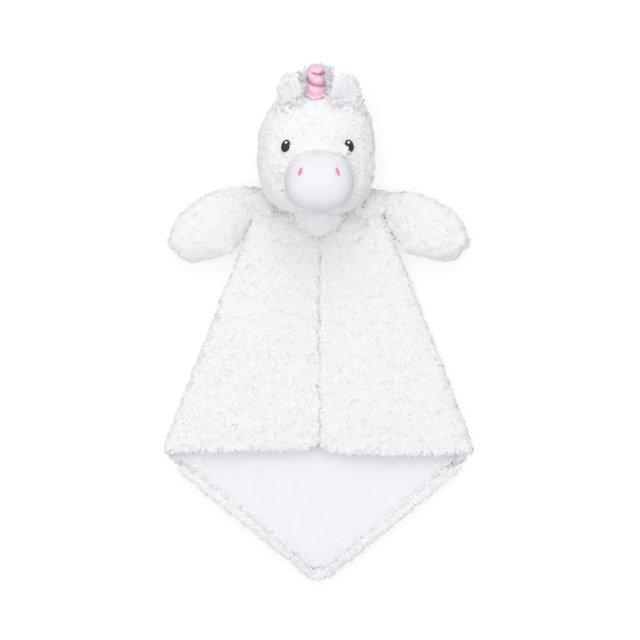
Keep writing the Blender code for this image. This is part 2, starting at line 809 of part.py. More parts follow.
def head_crown(x, z):
    """How far up the crown the head's surface lies, at a place across it and a height."""
    low, high = HEAD_Y, HEAD_Y + HEAD_HALF_LENGTH
    for _ in range(30):
        middle = (low + high) / 2
        wide, deep = head_profile(middle, 0)
        if deep > 0 and (x / wide) ** 2 + ((z - HEAD_Z) / deep) ** 2 < 1:
            low = middle
        else:
            high = middle
    return low


def make_forelock(silver, pivot):
    """A sheet of locks with a zigzag edge, which stands behind the horn."""
    along = Vector((0, math.cos(FORELOCK_RISE), math.sin(FORELOCK_RISE)))
    depth = Vector((0, -math.sin(FORELOCK_RISE), math.cos(FORELOCK_RISE)))
    columns = 2 * FORELOCK_TIPS
    rows = []
    for share in (0, 0.3, 0.62, 1):
        row = []
        for column in range(columns + 1):
            across = 2 * column / columns - 1
            flare = 1 + FORELOCK_FLARE_SHARE * share
            x = FORELOCK_X + FORELOCK_HALF_WIDTH * across * flare
            base = Vector((x, head_crown(x, FORELOCK_Z), FORELOCK_Z)) + along * FORELOCK_SEAT
            length = FORELOCK_LENGTH * (1 if column % 2 else FORELOCK_NOTCH_SHARE)
            bend = FORELOCK_THICKNESS * (across ** 2 - 1 / 2) * share
            middle = base + along * (length * share) + depth * bend
            half = FORELOCK_THICKNESS / 2 * (1 - FORELOCK_TAPER_SHARE * share)
            row.append((middle + depth * half, middle - depth * half))
        rows.append(row)
    thick_sheet("forelock", rows, silver, pivot)


# Ears

EAR_ROW_SHARES = (0, 0.16, 0.36, 0.58, 0.78, 0.92, 1)
EAR_WIDTH_SHARES = (0.8, 0.94, 1.0, 0.97, 0.83, 0.6, 0.28)


def ear_frame(side):
    """Middle of the ear's base on the head, its base line, its length and its facing."""
    x = side * EAR_SPREAD
    base = Vector((x, EAR_Y, head_front(x, EAR_Y)))
    step = EAR_HALF_WIDTH / 2
    beside = Vector((x + side * step, EAR_Y, head_front(x + side * step, EAR_Y)))
    behind = Vector((x - side * step, EAR_Y, head_front(x - side * step, EAR_Y)))
    line = (beside - behind).normalized()
    outward = line.cross(Vector((0, 1, 0))) * side
    outward.x *= EAR_LEAN_SHARE
    outward.normalize()
    along = (Vector((0, math.cos(EAR_LIFT), 0)) + outward * math.sin(EAR_LIFT)).normalized()
    facing = line.cross(along) * side
    return base, line, along, facing


def ear_sheet(name, side, size, thickness, forward, finish, pivot):
    _, line, along, facing = ear_frame(side)
    root = ear_pivot(side)
    rows = []
    for share, wide in zip(EAR_ROW_SHARES, EAR_WIDTH_SHARES):
        row = []
        for across in (-1, -0.66, -0.33, 0, 0.33, 0.66, 1):
            place = line * (EAR_HALF_WIDTH * size * wide * across)
            height = EAR_LENGTH * (share * size + (1 - size) / 2)
            cupped = EAR_CUP * (across * wide * size) ** 2
            middle = root + place + along * height + facing * (cupped + forward)
            half = thickness / 2 * (EAR_EDGE_SHARE if abs(across) == 1 or share in (0, 1) else 1)
            row.append((middle + facing * half, middle - facing * half))
        rows.append(row)
    return thick_sheet(name, rows, finish, pivot)


def ear_pivot(side):
    base, _, along, _ = ear_frame(side)
    return base + along * EAR_SEAT


def make_ears(plush, inner_fabric):
    for side, name in SIDE_NAMES.items():
        pivot = ear_pivot(side)
        ear_sheet(f"ear_{name}_back", side, 1, EAR_BACK_THICKNESS, 0, plush, pivot)
        forward = (EAR_BACK_THICKNESS + EAR_INNER_THICKNESS) / 2 + GAP
        ear_sheet(f"ear_{name}_inner", side, EAR_INNER_SHARE, EAR_INNER_THICKNESS, forward,
                  inner_fabric, pivot)


# Arms

ARM_RING_SHARES = (0, 0.02, 0.055, 0.11, 0.2, 0.33, 0.48, 0.64, 0.78, 0.88, 0.95, 0.985)
ARM_WIDTH_SHARES = (0.88, 0.9, 0.93, 0.96, 0.99, 1.0, 1.0, 0.96, 0.86, 0.7, 0.48, 0.26)
ARM_DEPTH_SHARES = (0.12, 0.25, 0.35, 0.42, 0.57, 0.8, 0.97, 1.0, 0.89, 0.71, 0.5, 0.28)


def shoulder_frame(side):
    """Middle of the shoulder seam, the seam's direction, and the way out from it."""
    slope = (SHOULDER_HALF_WIDTH - HEM_HALF_WIDTH) / (SHOULDER_Y - HEM_Y)
    along = Vector((side * slope, 1, 0)).normalized()
    outward = Vector((along.y, -along.x, 0)) * side
    seam = Vector((side * fold_half_width(ARM_ROOT_Y), ARM_ROOT_Y, ARM_ROOT_Z))
    return seam + outward * GAP, along, outward


def shoulder_pivot(side):
    seam, _, outward = shoulder_frame(side)
    return seam + outward * ARM_ROOT_RADIUS


def arm_rings(side, wall, gap, numbers):
    """Rings from the flat seam to the rounded tip, drooping a little below the seam."""
    seam, along, _ = shoulder_frame(side)
    arm = Vector((side * math.cos(ARM_DROOP), -math.sin(ARM_DROOP), 0))
    square = Vector((side * math.sin(ARM_DROOP), math.cos(ARM_DROOP), 0))
    rings = []
    for number in numbers:
        share = ARM_RING_SHARES[number]
        blend = smoothstep(share / ARM_RING_SHARES[6])
        across = (along * (1 - blend) + square * blend).normalized()
        deep = ARM_HALF_THICKNESS * ARM_DEPTH_SHARES[number]
        wide = ARM_HALF_WIDTH * ARM_WIDTH_SHARES[number]
        taken = min(wall, ARM_WALL_SHARE * deep) + gap if wall else 0
        height = ARM_ROOT_Z + (ARM_HALF_THICKNESS + GAP - ARM_ROOT_Z) * smoothstep(share / ARM_RISE_SHARE)
        centre = seam + arm * (ARM_LENGTH * share) + Vector((0, 0, height - ARM_ROOT_Z))
        rings.append(ring(centre, across, Vector((0, 0, 1)), wide - taken, deep - taken,
                          ARM_SIDES, ARM_POWER))
    tip = seam + arm * (ARM_LENGTH - wall - gap) + Vector((0, 0, ARM_HALF_THICKNESS - ARM_ROOT_Z))
    return rings, tip, arm


def make_arms(plush, stuffing):
    count = len(ARM_RING_SHARES)
    for side, name in SIDE_NAMES.items():
        pivot = shoulder_pivot(side)
        outer, tip, _ = arm_rings(side, 0, 0, range(count))
        inner, inner_tip, _ = arm_rings(side, ARM_WALL, 0, range(count - 2))
        cup(f"arm_{name}_cover", outer, tip, inner, inner_tip, plush, pivot)
        rings, end, arm = arm_rings(side, ARM_WALL, GAP, range(1, count - 2))
        seam, _, _ = shoulder_frame(side)
        start = seam + arm * (ARM_LENGTH * ARM_RING_SHARES[1])
        plug(f"arm_{name}_stuffing", rings, start, end, stuffing, pivot)


def main():
    clear_scene()
    plush = material("white_plush", WHITE_PLUSH, 0.9)
    smooth = material("white_smooth_fabric", WHITE_SMOOTH, 0.8)
    ear_fabric = material("lavender_white_fabric", LAVENDER_WHITE, 0.8)
    stuffing = material("polyester_stuffing", STUFFING_WHITE, 0.95)
    pink = material("pink_horn_fabric", HORN_PINK, 0.55)
    pink_thread = material("pink_thread", THREAD_PINK, 0.6)
    silver = material("silver_hair", SILVER_GREY, 0.45)
    black = material("black_embroidery", EYE_BLACK, 0.35)
    nostril = material("nostril_embroidery", NOSTRIL_PINK, 0.5)
    white_thread = material("white_thread", WHITE_SMOOTH, 0.6)

    neck = Vector((0, NECK_Y, NECK_Z))
    make_blanket(plush, smooth, white_thread)
    make_neck(plush, stuffing, neck)
    make_head(plush, smooth, stuffing, neck)
    make_face(black, white_thread, nostril, neck)
    make_horn(pink, stuffing, pink_thread, neck)
    make_forelock(silver, neck)
    make_ears(plush, ear_fabric)
    make_arms(plush, stuffing)


main()
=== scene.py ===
# A plush unicorn comfort blanket, lying on its back on a white table. One square of wavy plush
# is folded round to the front like a kite, and carries a stuffed head and two stuffed arms.
import json
import math
import bpy
import numpy as np
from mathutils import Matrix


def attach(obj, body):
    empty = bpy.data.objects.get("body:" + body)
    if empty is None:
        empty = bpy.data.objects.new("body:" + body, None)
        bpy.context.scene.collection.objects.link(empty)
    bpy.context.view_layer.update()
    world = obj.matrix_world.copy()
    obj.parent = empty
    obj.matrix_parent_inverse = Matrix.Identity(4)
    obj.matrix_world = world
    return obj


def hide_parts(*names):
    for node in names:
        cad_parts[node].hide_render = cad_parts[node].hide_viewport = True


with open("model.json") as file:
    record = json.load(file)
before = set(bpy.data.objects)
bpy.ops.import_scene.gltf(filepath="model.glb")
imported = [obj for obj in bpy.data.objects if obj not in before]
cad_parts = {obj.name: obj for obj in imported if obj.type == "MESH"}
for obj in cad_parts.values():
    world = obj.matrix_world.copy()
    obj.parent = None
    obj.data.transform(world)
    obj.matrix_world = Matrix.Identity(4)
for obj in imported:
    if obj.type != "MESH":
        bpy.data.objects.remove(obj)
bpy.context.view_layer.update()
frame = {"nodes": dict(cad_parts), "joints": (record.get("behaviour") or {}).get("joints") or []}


# The white table and the soft light over it. The light comes from beyond the head, so the
# chin, the hem and the lower edges of the arms fall into a soft shade.
def linear(hex_colour):
    """An sRGB hex colour as the linear colour that a shader takes."""
    parts = [int(hex_colour[start:start + 2], 16) / 255 for start in (1, 3, 5)]
    return [p / 12.92 if p <= 0.04045 else ((p + 0.055) / 1.055) ** 2.4 for p in parts] + [1]


def add_node(tree, kind, inputs=None, **settings):
    """Adds a node: its settings, and its inputs as values or as sockets to link."""
    node = tree.nodes.new(kind)
    for name, value in settings.items():
        setattr(node, name, value)
    for name, value in (inputs or {}).items():
        if isinstance(value, bpy.types.NodeSocket):
            tree.links.new(value, node.inputs[name])
        else:
            node.inputs[name].default_value = value
    return node


def new_material(name):
    material = bpy.data.materials.new(name)
    material.use_nodes = True
    material.node_tree.nodes.clear()
    return material, material.node_tree


def add_lamp(name, place, turn, width, power, tint):
    """A round soft box, turned from straight down by an angle about the X axis."""
    bpy.ops.object.light_add(type="AREA", location=place, rotation=(math.radians(turn), 0, 0))
    lamp = bpy.context.object
    lamp.name = name
    lamp.data.shape = "DISK"
    lamp.data.size = width
    lamp.data.energy = power
    lamp.data.color = linear(tint)[:3]


bpy.ops.object.select_all(action="DESELECT")
bpy.ops.object.camera_add(location=(0.0007, 0.0042, 1.4), rotation=(0, 0, 0))
bpy.context.scene.camera = bpy.context.object
bpy.context.object.name = "camera_above"
bpy.context.object.data.sensor_width = 36
bpy.context.object.data.lens = 112.5
bpy.context.scene.view_settings.view_transform = "Standard"

add_lamp("soft_box_beyond_head", (0.0, 1.05, 1.15), -42, 1.1, 4.8, "#FFFFFF")
add_lamp("soft_box_above", (-0.25, -0.15, 1.9), 0, 1.2, 9.0, "#FFFFFF")

room = bpy.data.worlds.new("white_room")
bpy.context.scene.world = room
room.use_nodes = True
room.node_tree.nodes.clear()
seen_ray = add_node(room.node_tree, "ShaderNodeLightPath")
room_light = add_node(room.node_tree, "ShaderNodeBackground", {"Color": linear("#FFFFFF"), "Strength": 0.70})
room_white = add_node(room.node_tree, "ShaderNodeBackground", {"Color": linear("#FFFFFF"), "Strength": 1.0})
seen = add_node(room.node_tree, "ShaderNodeMath", {0: seen_ray.outputs["Is Camera Ray"],
                1: seen_ray.outputs["Is Glossy Ray"]}, operation="MAXIMUM")
room_mix = add_node(room.node_tree, "ShaderNodeMixShader", {0: seen.outputs[0], 1: room_light.outputs[0],
                    2: room_white.outputs[0]})
add_node(room.node_tree, "ShaderNodeOutputWorld", {"Surface": room_mix.outputs[0]})

bpy.ops.mesh.primitive_plane_add(size=4, location=(0, 0, 0))
table = bpy.context.object
table.name = "white_table"
bpy.ops.object.mode_set(mode="EDIT")
bpy.ops.mesh.subdivide(number_cuts=3)
bpy.ops.object.mode_set(mode="OBJECT")
# Matt white laminate. The camera sees it a little lifted, so it stays white and keeps the shadow.
white_laminate, tree = new_material("matt_white_laminate")
laminate = add_node(tree, "ShaderNodeBsdfPrincipled", {"Base Color": linear("#98989A"), "Roughness": 0.9,
                    "Specular IOR Level": 0.1})
path = add_node(tree, "ShaderNodeLightPath")
lift = add_node(tree, "ShaderNodeEmission", {"Color": linear("#FFFFFF"), "Strength": 0.72})
lifted = add_node(tree, "ShaderNodeAddShader", {0: laminate.outputs[0], 1: lift.outputs[0]})
surface = add_node(tree, "ShaderNodeMixShader", {0: path.outputs["Is Camera Ray"], 1: laminate.outputs[0],
                   2: lifted.outputs[0]})
add_node(tree, "ShaderNodeOutputMaterial", {"Surface": surface.outputs[0]})
table.data.materials.append(white_laminate)


# The blanket's lining: smooth white knitted fabric, sewn into the square of plush. It shows on
# the tail and at the neck, and lies flat with a few slow waves.
def new_piece(name, mesh):
    """A piece in the scene, selected and active."""
    bpy.ops.object.select_all(action="DESELECT")
    piece = bpy.data.objects.new(name, mesh)
    bpy.context.scene.collection.objects.link(piece)
    bpy.context.view_layer.objects.active = piece
    piece.select_set(True)
    return piece


def cloth_copy(name, node):
    """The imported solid's shape as a piece of its own, its loose triangles merged."""
    piece = new_piece(name, frame["nodes"][node].data.copy())
    piece.data.materials.clear()
    bpy.ops.object.mode_set(mode="EDIT")
    bpy.ops.mesh.select_all(action="SELECT")
    bpy.ops.mesh.remove_doubles(threshold=0.00002)
    bpy.ops.mesh.tris_convert_to_quads()
    bpy.ops.object.mode_set(mode="OBJECT")
    bpy.ops.object.shade_smooth()
    return piece


def soften(piece, levels):
    """Subdivides a piece for good."""
    bpy.context.view_layer.objects.active = piece
    finer = piece.modifiers.new("finer", "SUBSURF")
    finer.levels = finer.render_levels = levels
    bpy.ops.object.modifier_apply(modifier="finer")


def places(piece):
    """The piece's points and outward directions."""
    count = len(piece.data.vertices)
    points, normals = np.zeros(count * 3), np.zeros(count * 3)
    piece.data.vertices.foreach_get("co", points)
    piece.data.vertices.foreach_get("normal", normals)
    return points.reshape(-1, 3), normals.reshape(-1, 3)


def put(piece, points):
    piece.data.vertices.foreach_set("co", points.ravel())
    piece.data.update()


def drift(points, wavelength, seed, waves=9):
    """A value from about -1 to 1 that wanders smoothly over the cloth."""
    chance = np.random.default_rng(seed)
    ways = chance.normal(size=(waves, 3))
    rates = 2 * math.pi / wavelength * chance.uniform(0.7, 1.4, waves)
    ways *= (rates / np.linalg.norm(ways, axis=1))[:, None]
    return np.sin(points @ ways.T + chance.uniform(0, 2 * math.pi, waves)).mean(axis=1) * 1.8


# The corner of the tail at the right side fold, and the way outward across the edge that leads
# from it to the tip. The left edge is its mirror image.
TAIL_CORNER = np.array([0.1027, -0.0880])
TAIL_EDGE_OUT = np.array([0.618, -0.786])
# How round the tail's tip is, how far the lining is let out, and over which band.
TIP_ROUNDNESS = 0.003
LET_OUT = 0.0028
LET_OUT_BAND = 0.006


def past_tail_edge(points):
    """How far the points lie outside the tail's edges, or inside where it is negative."""
    return (np.stack((np.abs(points[:, 0]), points[:, 1]), axis=1) - TAIL_CORNER) @ TAIL_EDGE_OUT


def outward_at_tail(points, distances):
    """Moves points outward across the tail's edges, and straight down at its tip."""
    points[:, 0] += distances * TAIL_EDGE_OUT[0] * np.tanh(points[:, 0] / TIP_ROUNDNESS)
    points[:, 1] += distances * TAIL_EDGE_OUT[1]
    return points


lining = cloth_copy("lining_fabric", "blanket_lining")
soften(lining, 2)
points, _ = places(lining)
points[:, 2] += 0.0004 * drift(points, 0.07, 11)
# The tail's edge is let out under the rim, most of all at the tip, so that no gap shows.
reach = LET_OUT * np.clip((past_tail_edge(points) + LET_OUT_BAND) / LET_OUT_BAND, 0, 1)
reach *= 1 + 0.6 * np.exp(-(points[:, 0] / 0.010) ** 2)
on_tail = np.clip((-0.082 - points[:, 1]) / 0.008, 0, 1)
put(lining, outward_at_tail(points, reach * on_tail))
# Smooth polyester knit: slightly lavender white, soft sheen, stitches 0.5 mm apart.
smooth_knit, tree = new_material("smooth_white_polyester_knit")
place = add_node(tree, "ShaderNodeTexCoord")
slow = add_node(tree, "ShaderNodeTexNoise", {"Vector": place.outputs["Object"], "Scale": 45, "Detail": 2})
tone = add_node(tree, "ShaderNodeMix", {0: slow.outputs[0], 6: linear("#EDECF1"), 7: linear("#F2F1F6")},
                data_type="RGBA")
stitches = add_node(tree, "ShaderNodeTexVoronoi", {"Vector": place.outputs["Object"], "Scale": 2000})
relief = add_node(tree, "ShaderNodeBump", {"Height": stitches.outputs[0], "Distance": 0.0001,
                  "Strength": 0.25})
knit = add_node(tree, "ShaderNodeBsdfPrincipled", {"Base Color": tone.outputs[2], "Roughness": 0.75,
                "Normal": relief.outputs[0], "Sheen Weight": 0.2, "Sheen Roughness": 0.4,
                "Specular IOR Level": 0.3})
add_node(tree, "ShaderNodeOutputMaterial", {"Surface": knit.outputs[0]})
lining.data.materials.append(smooth_knit)
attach(lining, "root")
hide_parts("blanket_lining")


# The blanket's plush: the square of wavy pile, its two side corners folded over the lining and
# meeting along the front. The knitted ground carries thousands of soft curled locks.

# The lengths of the pile's waves, the step over which their slope is taken, the depth of the
# locks' roots, and how low over the table a lock and the ground may reach.
BROAD_WAVE = 0.017
FINE_WAVE = 0.009
SLOPE_STEP = 0.0012
ROOT_DEPTH = 0.0004
LOWEST_LOCK = 0.0002
LOWEST_GROUND = 0.0004


def tufts(points, seed):
    """How high the pile stands, from 0 in the creases between its waves to 1 on top of them."""
    broad = np.abs(drift(points, BROAD_WAVE, seed)) * 1.8
    fine = np.abs(drift(points, FINE_WAVE, seed + 1)) * 1.8
    return np.tanh(broad) * 0.62 + np.tanh(fine) * 0.38


def directions(points, x, y, z):
    """A direction for each point, its parts given as numbers or as a value for each point."""
    return np.stack([np.broadcast_to(part, len(points)) for part in (x, y, z)], axis=1)


def combed(x, y, z):
    """A way of combing that is the same everywhere."""
    return lambda points, out: directions(points, x, y, z)


def unit(ways):
    """Directions brought to length 1."""
    return ways / np.maximum(np.linalg.norm(ways, axis=1), 1e-9)[:, None]


def scattered(ground, growth, count, chance):
    """Roots spread evenly wherever pile grows: their places, outward directions and strengths."""
    ground.data.calc_loop_triangles()
    corners = np.zeros(len(ground.data.loop_triangles) * 3, np.int32)
    ground.data.loop_triangles.foreach_get("vertices", corners)
    corners = corners.reshape(-1, 3)
    points, normals = places(ground)
    middles = points[corners].mean(axis=1)
    first_edges = points[corners[:, 1]] - points[corners[:, 0]]
    second_edges = points[corners[:, 2]] - points[corners[:, 0]]
    areas = np.linalg.norm(np.cross(first_edges, second_edges), axis=1) / 2
    facing = normals[corners].mean(axis=1)
    total = np.cumsum(areas * (growth(middles, facing) > 0.02))
    steps = (np.arange(count) + chance.uniform(0, 1, count)) / count * total[-1]
    chosen = corners[np.searchsorted(total, steps)]
    mix = chance.dirichlet((1, 1, 1), count)[:, :, None]
    roots = (points[chosen] * mix).sum(axis=1)
    out = unit((normals[chosen] * mix).sum(axis=1))
    strength = growth(roots, out)
    grown = strength > 0.05
    return roots[grown], out[grown], strength[grown]


def on_waves(roots, out, strength, wave, seed):
    """Lifts the roots onto the pile's waves, and leans their locks with the waves' slopes."""
    first = unit(np.cross(out, [0.31, 0.12, 0.94]))
    second = np.cross(out, first)
    slopes = []
    for way in (first * SLOPE_STEP, second * SLOPE_STEP):
        slopes.append((tufts(roots + way, seed) - tufts(roots - way, seed)) / (2 * SLOPE_STEP))
    leaning = unit(out - wave * (first * slopes[0][:, None] + second * slopes[1][:, None]))
    return roots + out * (wave * strength * (tufts(roots, seed) - 0.5))[:, None], leaning


def bent_locks(roots, out, strength, lie, chance, seed, length, width, height):
    """Every lock's points.

    Each lock lies the way it is combed, turned by the swirls that it shares with its neighbours.
    The modelled lock is bent along that way, curled sideways and laid down toward its tip."""
    count = len(roots)
    flow = lie(roots, out)
    flow = unit(flow - out * (flow * out).sum(axis=1)[:, None])
    beside = np.cross(out, flow)
    swirl = drift(roots, 0.016, seed + 1) + 0.7 * drift(roots, 0.007, seed + 2)
    swirl += chance.normal(0, 0.35, count)
    along = flow * np.cos(swirl)[:, None] + beside * np.sin(swirl)[:, None]
    side = np.cross(out, along)
    clump = drift(roots, 0.009, seed + 3)
    reach = length * strength * chance.uniform(0.75, 1.2, count) * (1 + 0.12 * clump)
    rise = height * strength * chance.uniform(0.7, 1.25, count) * (1 + 0.3 * clump)
    thick = width * np.sqrt(strength) * chance.uniform(0.75, 1.25, count)
    sway = reach * chance.uniform(0.08, 0.2, count)
    phase = drift(roots, 0.012, seed + 4) * 1.5 + chance.normal(0, 0.5, count)

    share, ring = LOCK[:, 0], LOCK[:, 1:3]
    bulge = np.interp(share, (0, 0.4, 0.75, 1), (0.8, 1.0, 0.75, 0))
    forward = reach[:, None] * (0.55 * share + 0.45 * share ** 2)
    upward = rise[:, None] * (1.9 * share - 0.9 * share ** 2) - ROOT_DEPTH * (share == 0)
    sideways = sway[:, None] * (np.sin(phase[:, None] + 5.0 * share) - np.sin(phase)[:, None])
    sideways += thick[:, None] * ring[:, 0] * bulge
    upward += thick[:, None] * ring[:, 1] * bulge * 0.45
    locks = (roots[:, None, :] + along[:, None, :] * forward[:, :, None]
             + side[:, None, :] * sideways[:, :, None] + out[:, None, :] * upward[:, :, None])
    locks[:, :, 2] = np.maximum(locks[:, :, 2], LOWEST_LOCK)
    return locks


def lock_mesh(name, locks, chance):
    """One mesh of all the locks. Each has a cell of the texture's layout, and tells its material
    how far along it a point lies and which shade is its own."""
    count, each, turns = len(locks), len(LOCK), len(LOCK_LOOPS)
    mesh = bpy.data.meshes.new(name)
    mesh.vertices.add(count * each)
    mesh.vertices.foreach_set("co", locks.reshape(-1).astype(np.float32))
    mesh.loops.add(count * turns)
    loops = (LOCK_LOOPS[None, :] + each * np.arange(count)[:, None]).ravel()
    mesh.loops.foreach_set("vertex_index", loops.astype(np.int32))
    mesh.polygons.add(count * len(LOCK_STARTS))
    starts = (LOCK_STARTS[None, :] + turns * np.arange(count)[:, None]).ravel()
    mesh.polygons.foreach_set("loop_start", starts.astype(np.int32))
    mesh.update(calc_edges=True)
    strand = mesh.attributes.new("strand", "FLOAT_VECTOR", "POINT")
    values = np.zeros((count, each, 3), np.float32)
    values[:, :, 0] = LOCK[:, 0]
    values[:, :, 1] = chance.uniform(0, 1, count)[:, None]
    strand.data.foreach_set("vector", values.ravel())
    cells = math.ceil(math.sqrt(count))
    cell = np.stack((np.arange(count) % cells, np.arange(count) // cells), axis=1)
    layout = (cell[:, None, :] + 0.08 + 0.84 * LOCK_SHARES[None, :, :]) / cells
    mesh.uv_layers.new(name="OFBake").data.foreach_set("uv", layout.astype(np.float32).ravel())
    return mesh


def shade_like_cloth(piece, out):
    """Shades the locks half like the cloth they grow on, so that they merge into soft pile."""
    mesh, count = piece.data, len(out)
    loops = np.zeros(len(mesh.loops), np.int32)
    mesh.loops.foreach_get("vertex_index", loops)
    _, own = places(piece)
    upright = unit(np.repeat(out, len(LOCK), axis=0) + [0, 0, 0.5])
    flat = np.zeros(len(mesh.polygons) * 3)
    mesh.polygons.foreach_get("normal", flat)
    corners = np.diff(LOCK_STARTS, append=len(LOCK_LOOPS))
    flat = np.repeat(flat.reshape(-1, 3), np.tile(corners, count), axis=0)
    own, upright = own[loops], upright[loops]
    facing = (flat * upright).sum(axis=1)[:, None]
    mesh.normals_split_custom_set(unit(own * 0.3 + upright + flat * np.clip(0.4 - facing, 0, 2) * 1.4))


def plant(name, ground, body, growth, lie, count, seed, length=0.0048, width=0.0010, height=0.0008,
          wave=0.0009, finish=None):
    """Plants locks of pile on a ground piece, and returns them as one piece.

    growth gives how strongly the pile grows, from 0 to 1, and lie the way it is combed, both from
    the roots' places and outward directions. wave is how high the pile's waves stand."""
    chance = np.random.default_rng(seed)
    roots, out, strength = scattered(ground, growth, count, chance)
    roots, out = on_waves(roots, out, strength, wave, seed + 5)
    locks = bent_locks(roots, out, strength, lie, chance, seed, length, width, height)
    piece = new_piece(name, lock_mesh(name, locks, chance))
    bpy.ops.object.shade_smooth()
    shade_like_cloth(piece, out)
    piece.data.materials.append(finish or wavy_pile)
    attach(piece, body)
    return piece


def raised(piece, amount, roughly=0.0, wavelength=0.009, seed=1):
    """Moves a piece's surface out, or in, and lets it swell and dip a little."""
    points, normals = places(piece)
    moved = points + normals * (amount + roughly * drift(points, wavelength, seed))[:, None]
    moved[:, 2] = np.maximum(moved[:, 2], LOWEST_GROUND)
    put(piece, moved)


# One lock, modelled from a three-sided cone that is cut twice across, then planted everywhere.
bpy.ops.object.select_all(action="DESELECT")
bpy.ops.mesh.primitive_cone_add(vertices=3, radius1=1, radius2=0, depth=1, location=(0, 0, 0.5))
lock = bpy.context.object
bpy.ops.object.transform_apply(location=True, rotation=True, scale=True)
bpy.ops.object.mode_set(mode="EDIT")
for cut_share in (0.4, 0.75):
    bpy.ops.mesh.select_all(action="SELECT")
    bpy.ops.mesh.bisect(plane_co=(0, 0, cut_share), plane_no=(0, 0, 1))
bpy.ops.object.mode_set(mode="OBJECT")
lock_points, _ = places(lock)
taper = np.maximum(1 - lock_points[:, 2], 1e-6)
LOCK = np.stack((lock_points[:, 2], lock_points[:, 0] / taper, lock_points[:, 1] / taper), axis=1)
LOCK[LOCK[:, 0] > 0.99, 1:] = 0
LOCK_LOOPS = np.array([loop.vertex_index for loop in lock.data.loops])
LOCK_STARTS = np.array([face.loop_start for face in lock.data.polygons])
LOCK_SHARES = np.zeros((len(LOCK_LOOPS), 2))
for face in lock.data.polygons:
    around = []
    for loop in face.loop_indices:
        share, across, up = LOCK[LOCK_LOOPS[loop]]
        around.append(None if share > 0.99 else (math.atan2(up, across) / (2 * math.pi)) % 1)
    known = [turn for turn in around if turn is not None]
    if max(known) - min(known) > 0.5:
        around = [turn + 1 if turn is not None and turn < 0.4 else turn for turn in around]
        known = [turn for turn in around if turn is not None]
    for loop, turn in zip(face.loop_indices, around):
        across = sum(known) / len(known) if turn is None else turn
        LOCK_SHARES[loop] = (across * 0.7, LOCK[LOCK_LOOPS[loop], 0])
bpy.data.objects.remove(lock)

# Wavy polyester plush pile: matt, bright at the tips, and a breath greyer and cooler down at the roots, which
# is painted shade where the locks shade each other. Each lock has a shade of its own. Fibres 0.05 mm thick,
# drawn at 0.4 mm so that they show.
wavy_pile, tree = new_material("wavy_polyester_plush_pile")
strand = add_node(tree, "ShaderNodeAttribute", attribute_name="strand")
strand_parts = add_node(tree, "ShaderNodeSeparateXYZ", {0: strand.outputs["Vector"]})
# Painted shade: each lock is mixed greyer toward its root, by its share from root to tip.
root_shade_to_tip = add_node(tree, "ShaderNodeMix", {0: strand_parts.outputs[0], 6: linear("#F6F6FA"),
                       7: linear("#FDFDFE")}, data_type="RGBA")
own_shade = add_node(tree, "ShaderNodeMapRange", {0: strand_parts.outputs[1], 3: 0.955, 4: 1.0})
shaded = add_node(tree, "ShaderNodeMix", {0: 1.0, 6: root_shade_to_tip.outputs[2], 7: own_shade.outputs[0]},
                  data_type="RGBA", blend_type="MULTIPLY")
place = add_node(tree, "ShaderNodeTexCoord")
fibres = add_node(tree, "ShaderNodeTexNoise", {"Vector": place.outputs["Object"], "Scale": 2500, "Detail": 1})
fibre_relief = add_node(tree, "ShaderNodeBump", {"Height": fibres.outputs[0], "Distance": 0.0001,
                        "Strength": 0.3})
pile = add_node(tree, "ShaderNodeBsdfPrincipled", {"Base Color": shaded.outputs[2], "Roughness": 0.95,
                "Normal": fibre_relief.outputs[0], "Sheen Weight": 0.25, "Sheen Roughness": 0.5,
                "Specular IOR Level": 0.15})
add_node(tree, "ShaderNodeOutputMaterial", {"Surface": pile.outputs[0]})

# The knitted ground that the pile grows from, a little darker than its tips.
pile_ground, tree = new_material("knitted_plush_ground")
place = add_node(tree, "ShaderNodeTexCoord")
slow = add_node(tree, "ShaderNodeTexNoise", {"Vector": place.outputs["Object"], "Scale": 260, "Detail": 3})
tone = add_node(tree, "ShaderNodeMix", {0: slow.outputs[0], 6: linear("#F2F1F7"), 7: linear("#FAFAFC")},
                data_type="RGBA")
relief = add_node(tree, "ShaderNodeBump", {"Height": slow.outputs[0], "Distance": 0.0006, "Strength": 0.5})
ground_cloth = add_node(tree, "ShaderNodeBsdfPrincipled", {"Base Color": tone.outputs[2], "Roughness": 0.95,
                        "Normal": relief.outputs[0], "Sheen Weight": 0.2, "Specular IOR Level": 0.15})
add_node(tree, "ShaderNodeOutputMaterial", {"Surface": ground_cloth.outputs[0]})

# Places on the folded blanket: the heights of the side fold's middle and of the flap's inner
# face, the half width that the seam draws down, and the neck. The ground lies under its pile.
SIDES = {"left": -1, "right": 1}
FOLD_HEIGHT = 0.0078
FLAP_INSIDE = 0.0125
SEAM_HALF_WIDTH = 0.006
NECK_Y = 0.0825
PILE_DEPTH = 0.0014
NOTCH_RISE = 0.0034
HEM_DROP = 0.0012

blanket = cloth_copy("blanket_plush_ground", "blanket_plush")
soften(blanket, 2)
points, normals = places(blanket)
at_seam = np.clip(1 - np.abs(points[:, 0]) / SEAM_HALF_WIDTH, 0, 1) * (points[:, 2] > 0.0085)
raised(blanket, -PILE_DEPTH + 0.0011 * at_seam, 0.0004, 0.011, 21)
# The hem hangs lower on the right than on the left, and rises in a notch at the seam.
points, _ = places(blanket)
across = points[:, 0]
near_hem = np.clip((-0.050 - points[:, 1]) / 0.035, 0, 1)
near_hem = near_hem * np.clip((0.104 - np.abs(across)) / 0.015, 0, 1)
near_hem *= points[:, 2] > FOLD_HEIGHT
notch = NOTCH_RISE * np.exp(-(across / 0.006) ** 2)
points[:, 1] += near_hem * (notch - HEM_DROP * np.tanh(across / 0.008))
put(blanket, points)
blanket.data.materials.append(pile_ground)
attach(blanket, "root")
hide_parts("blanket_plush")


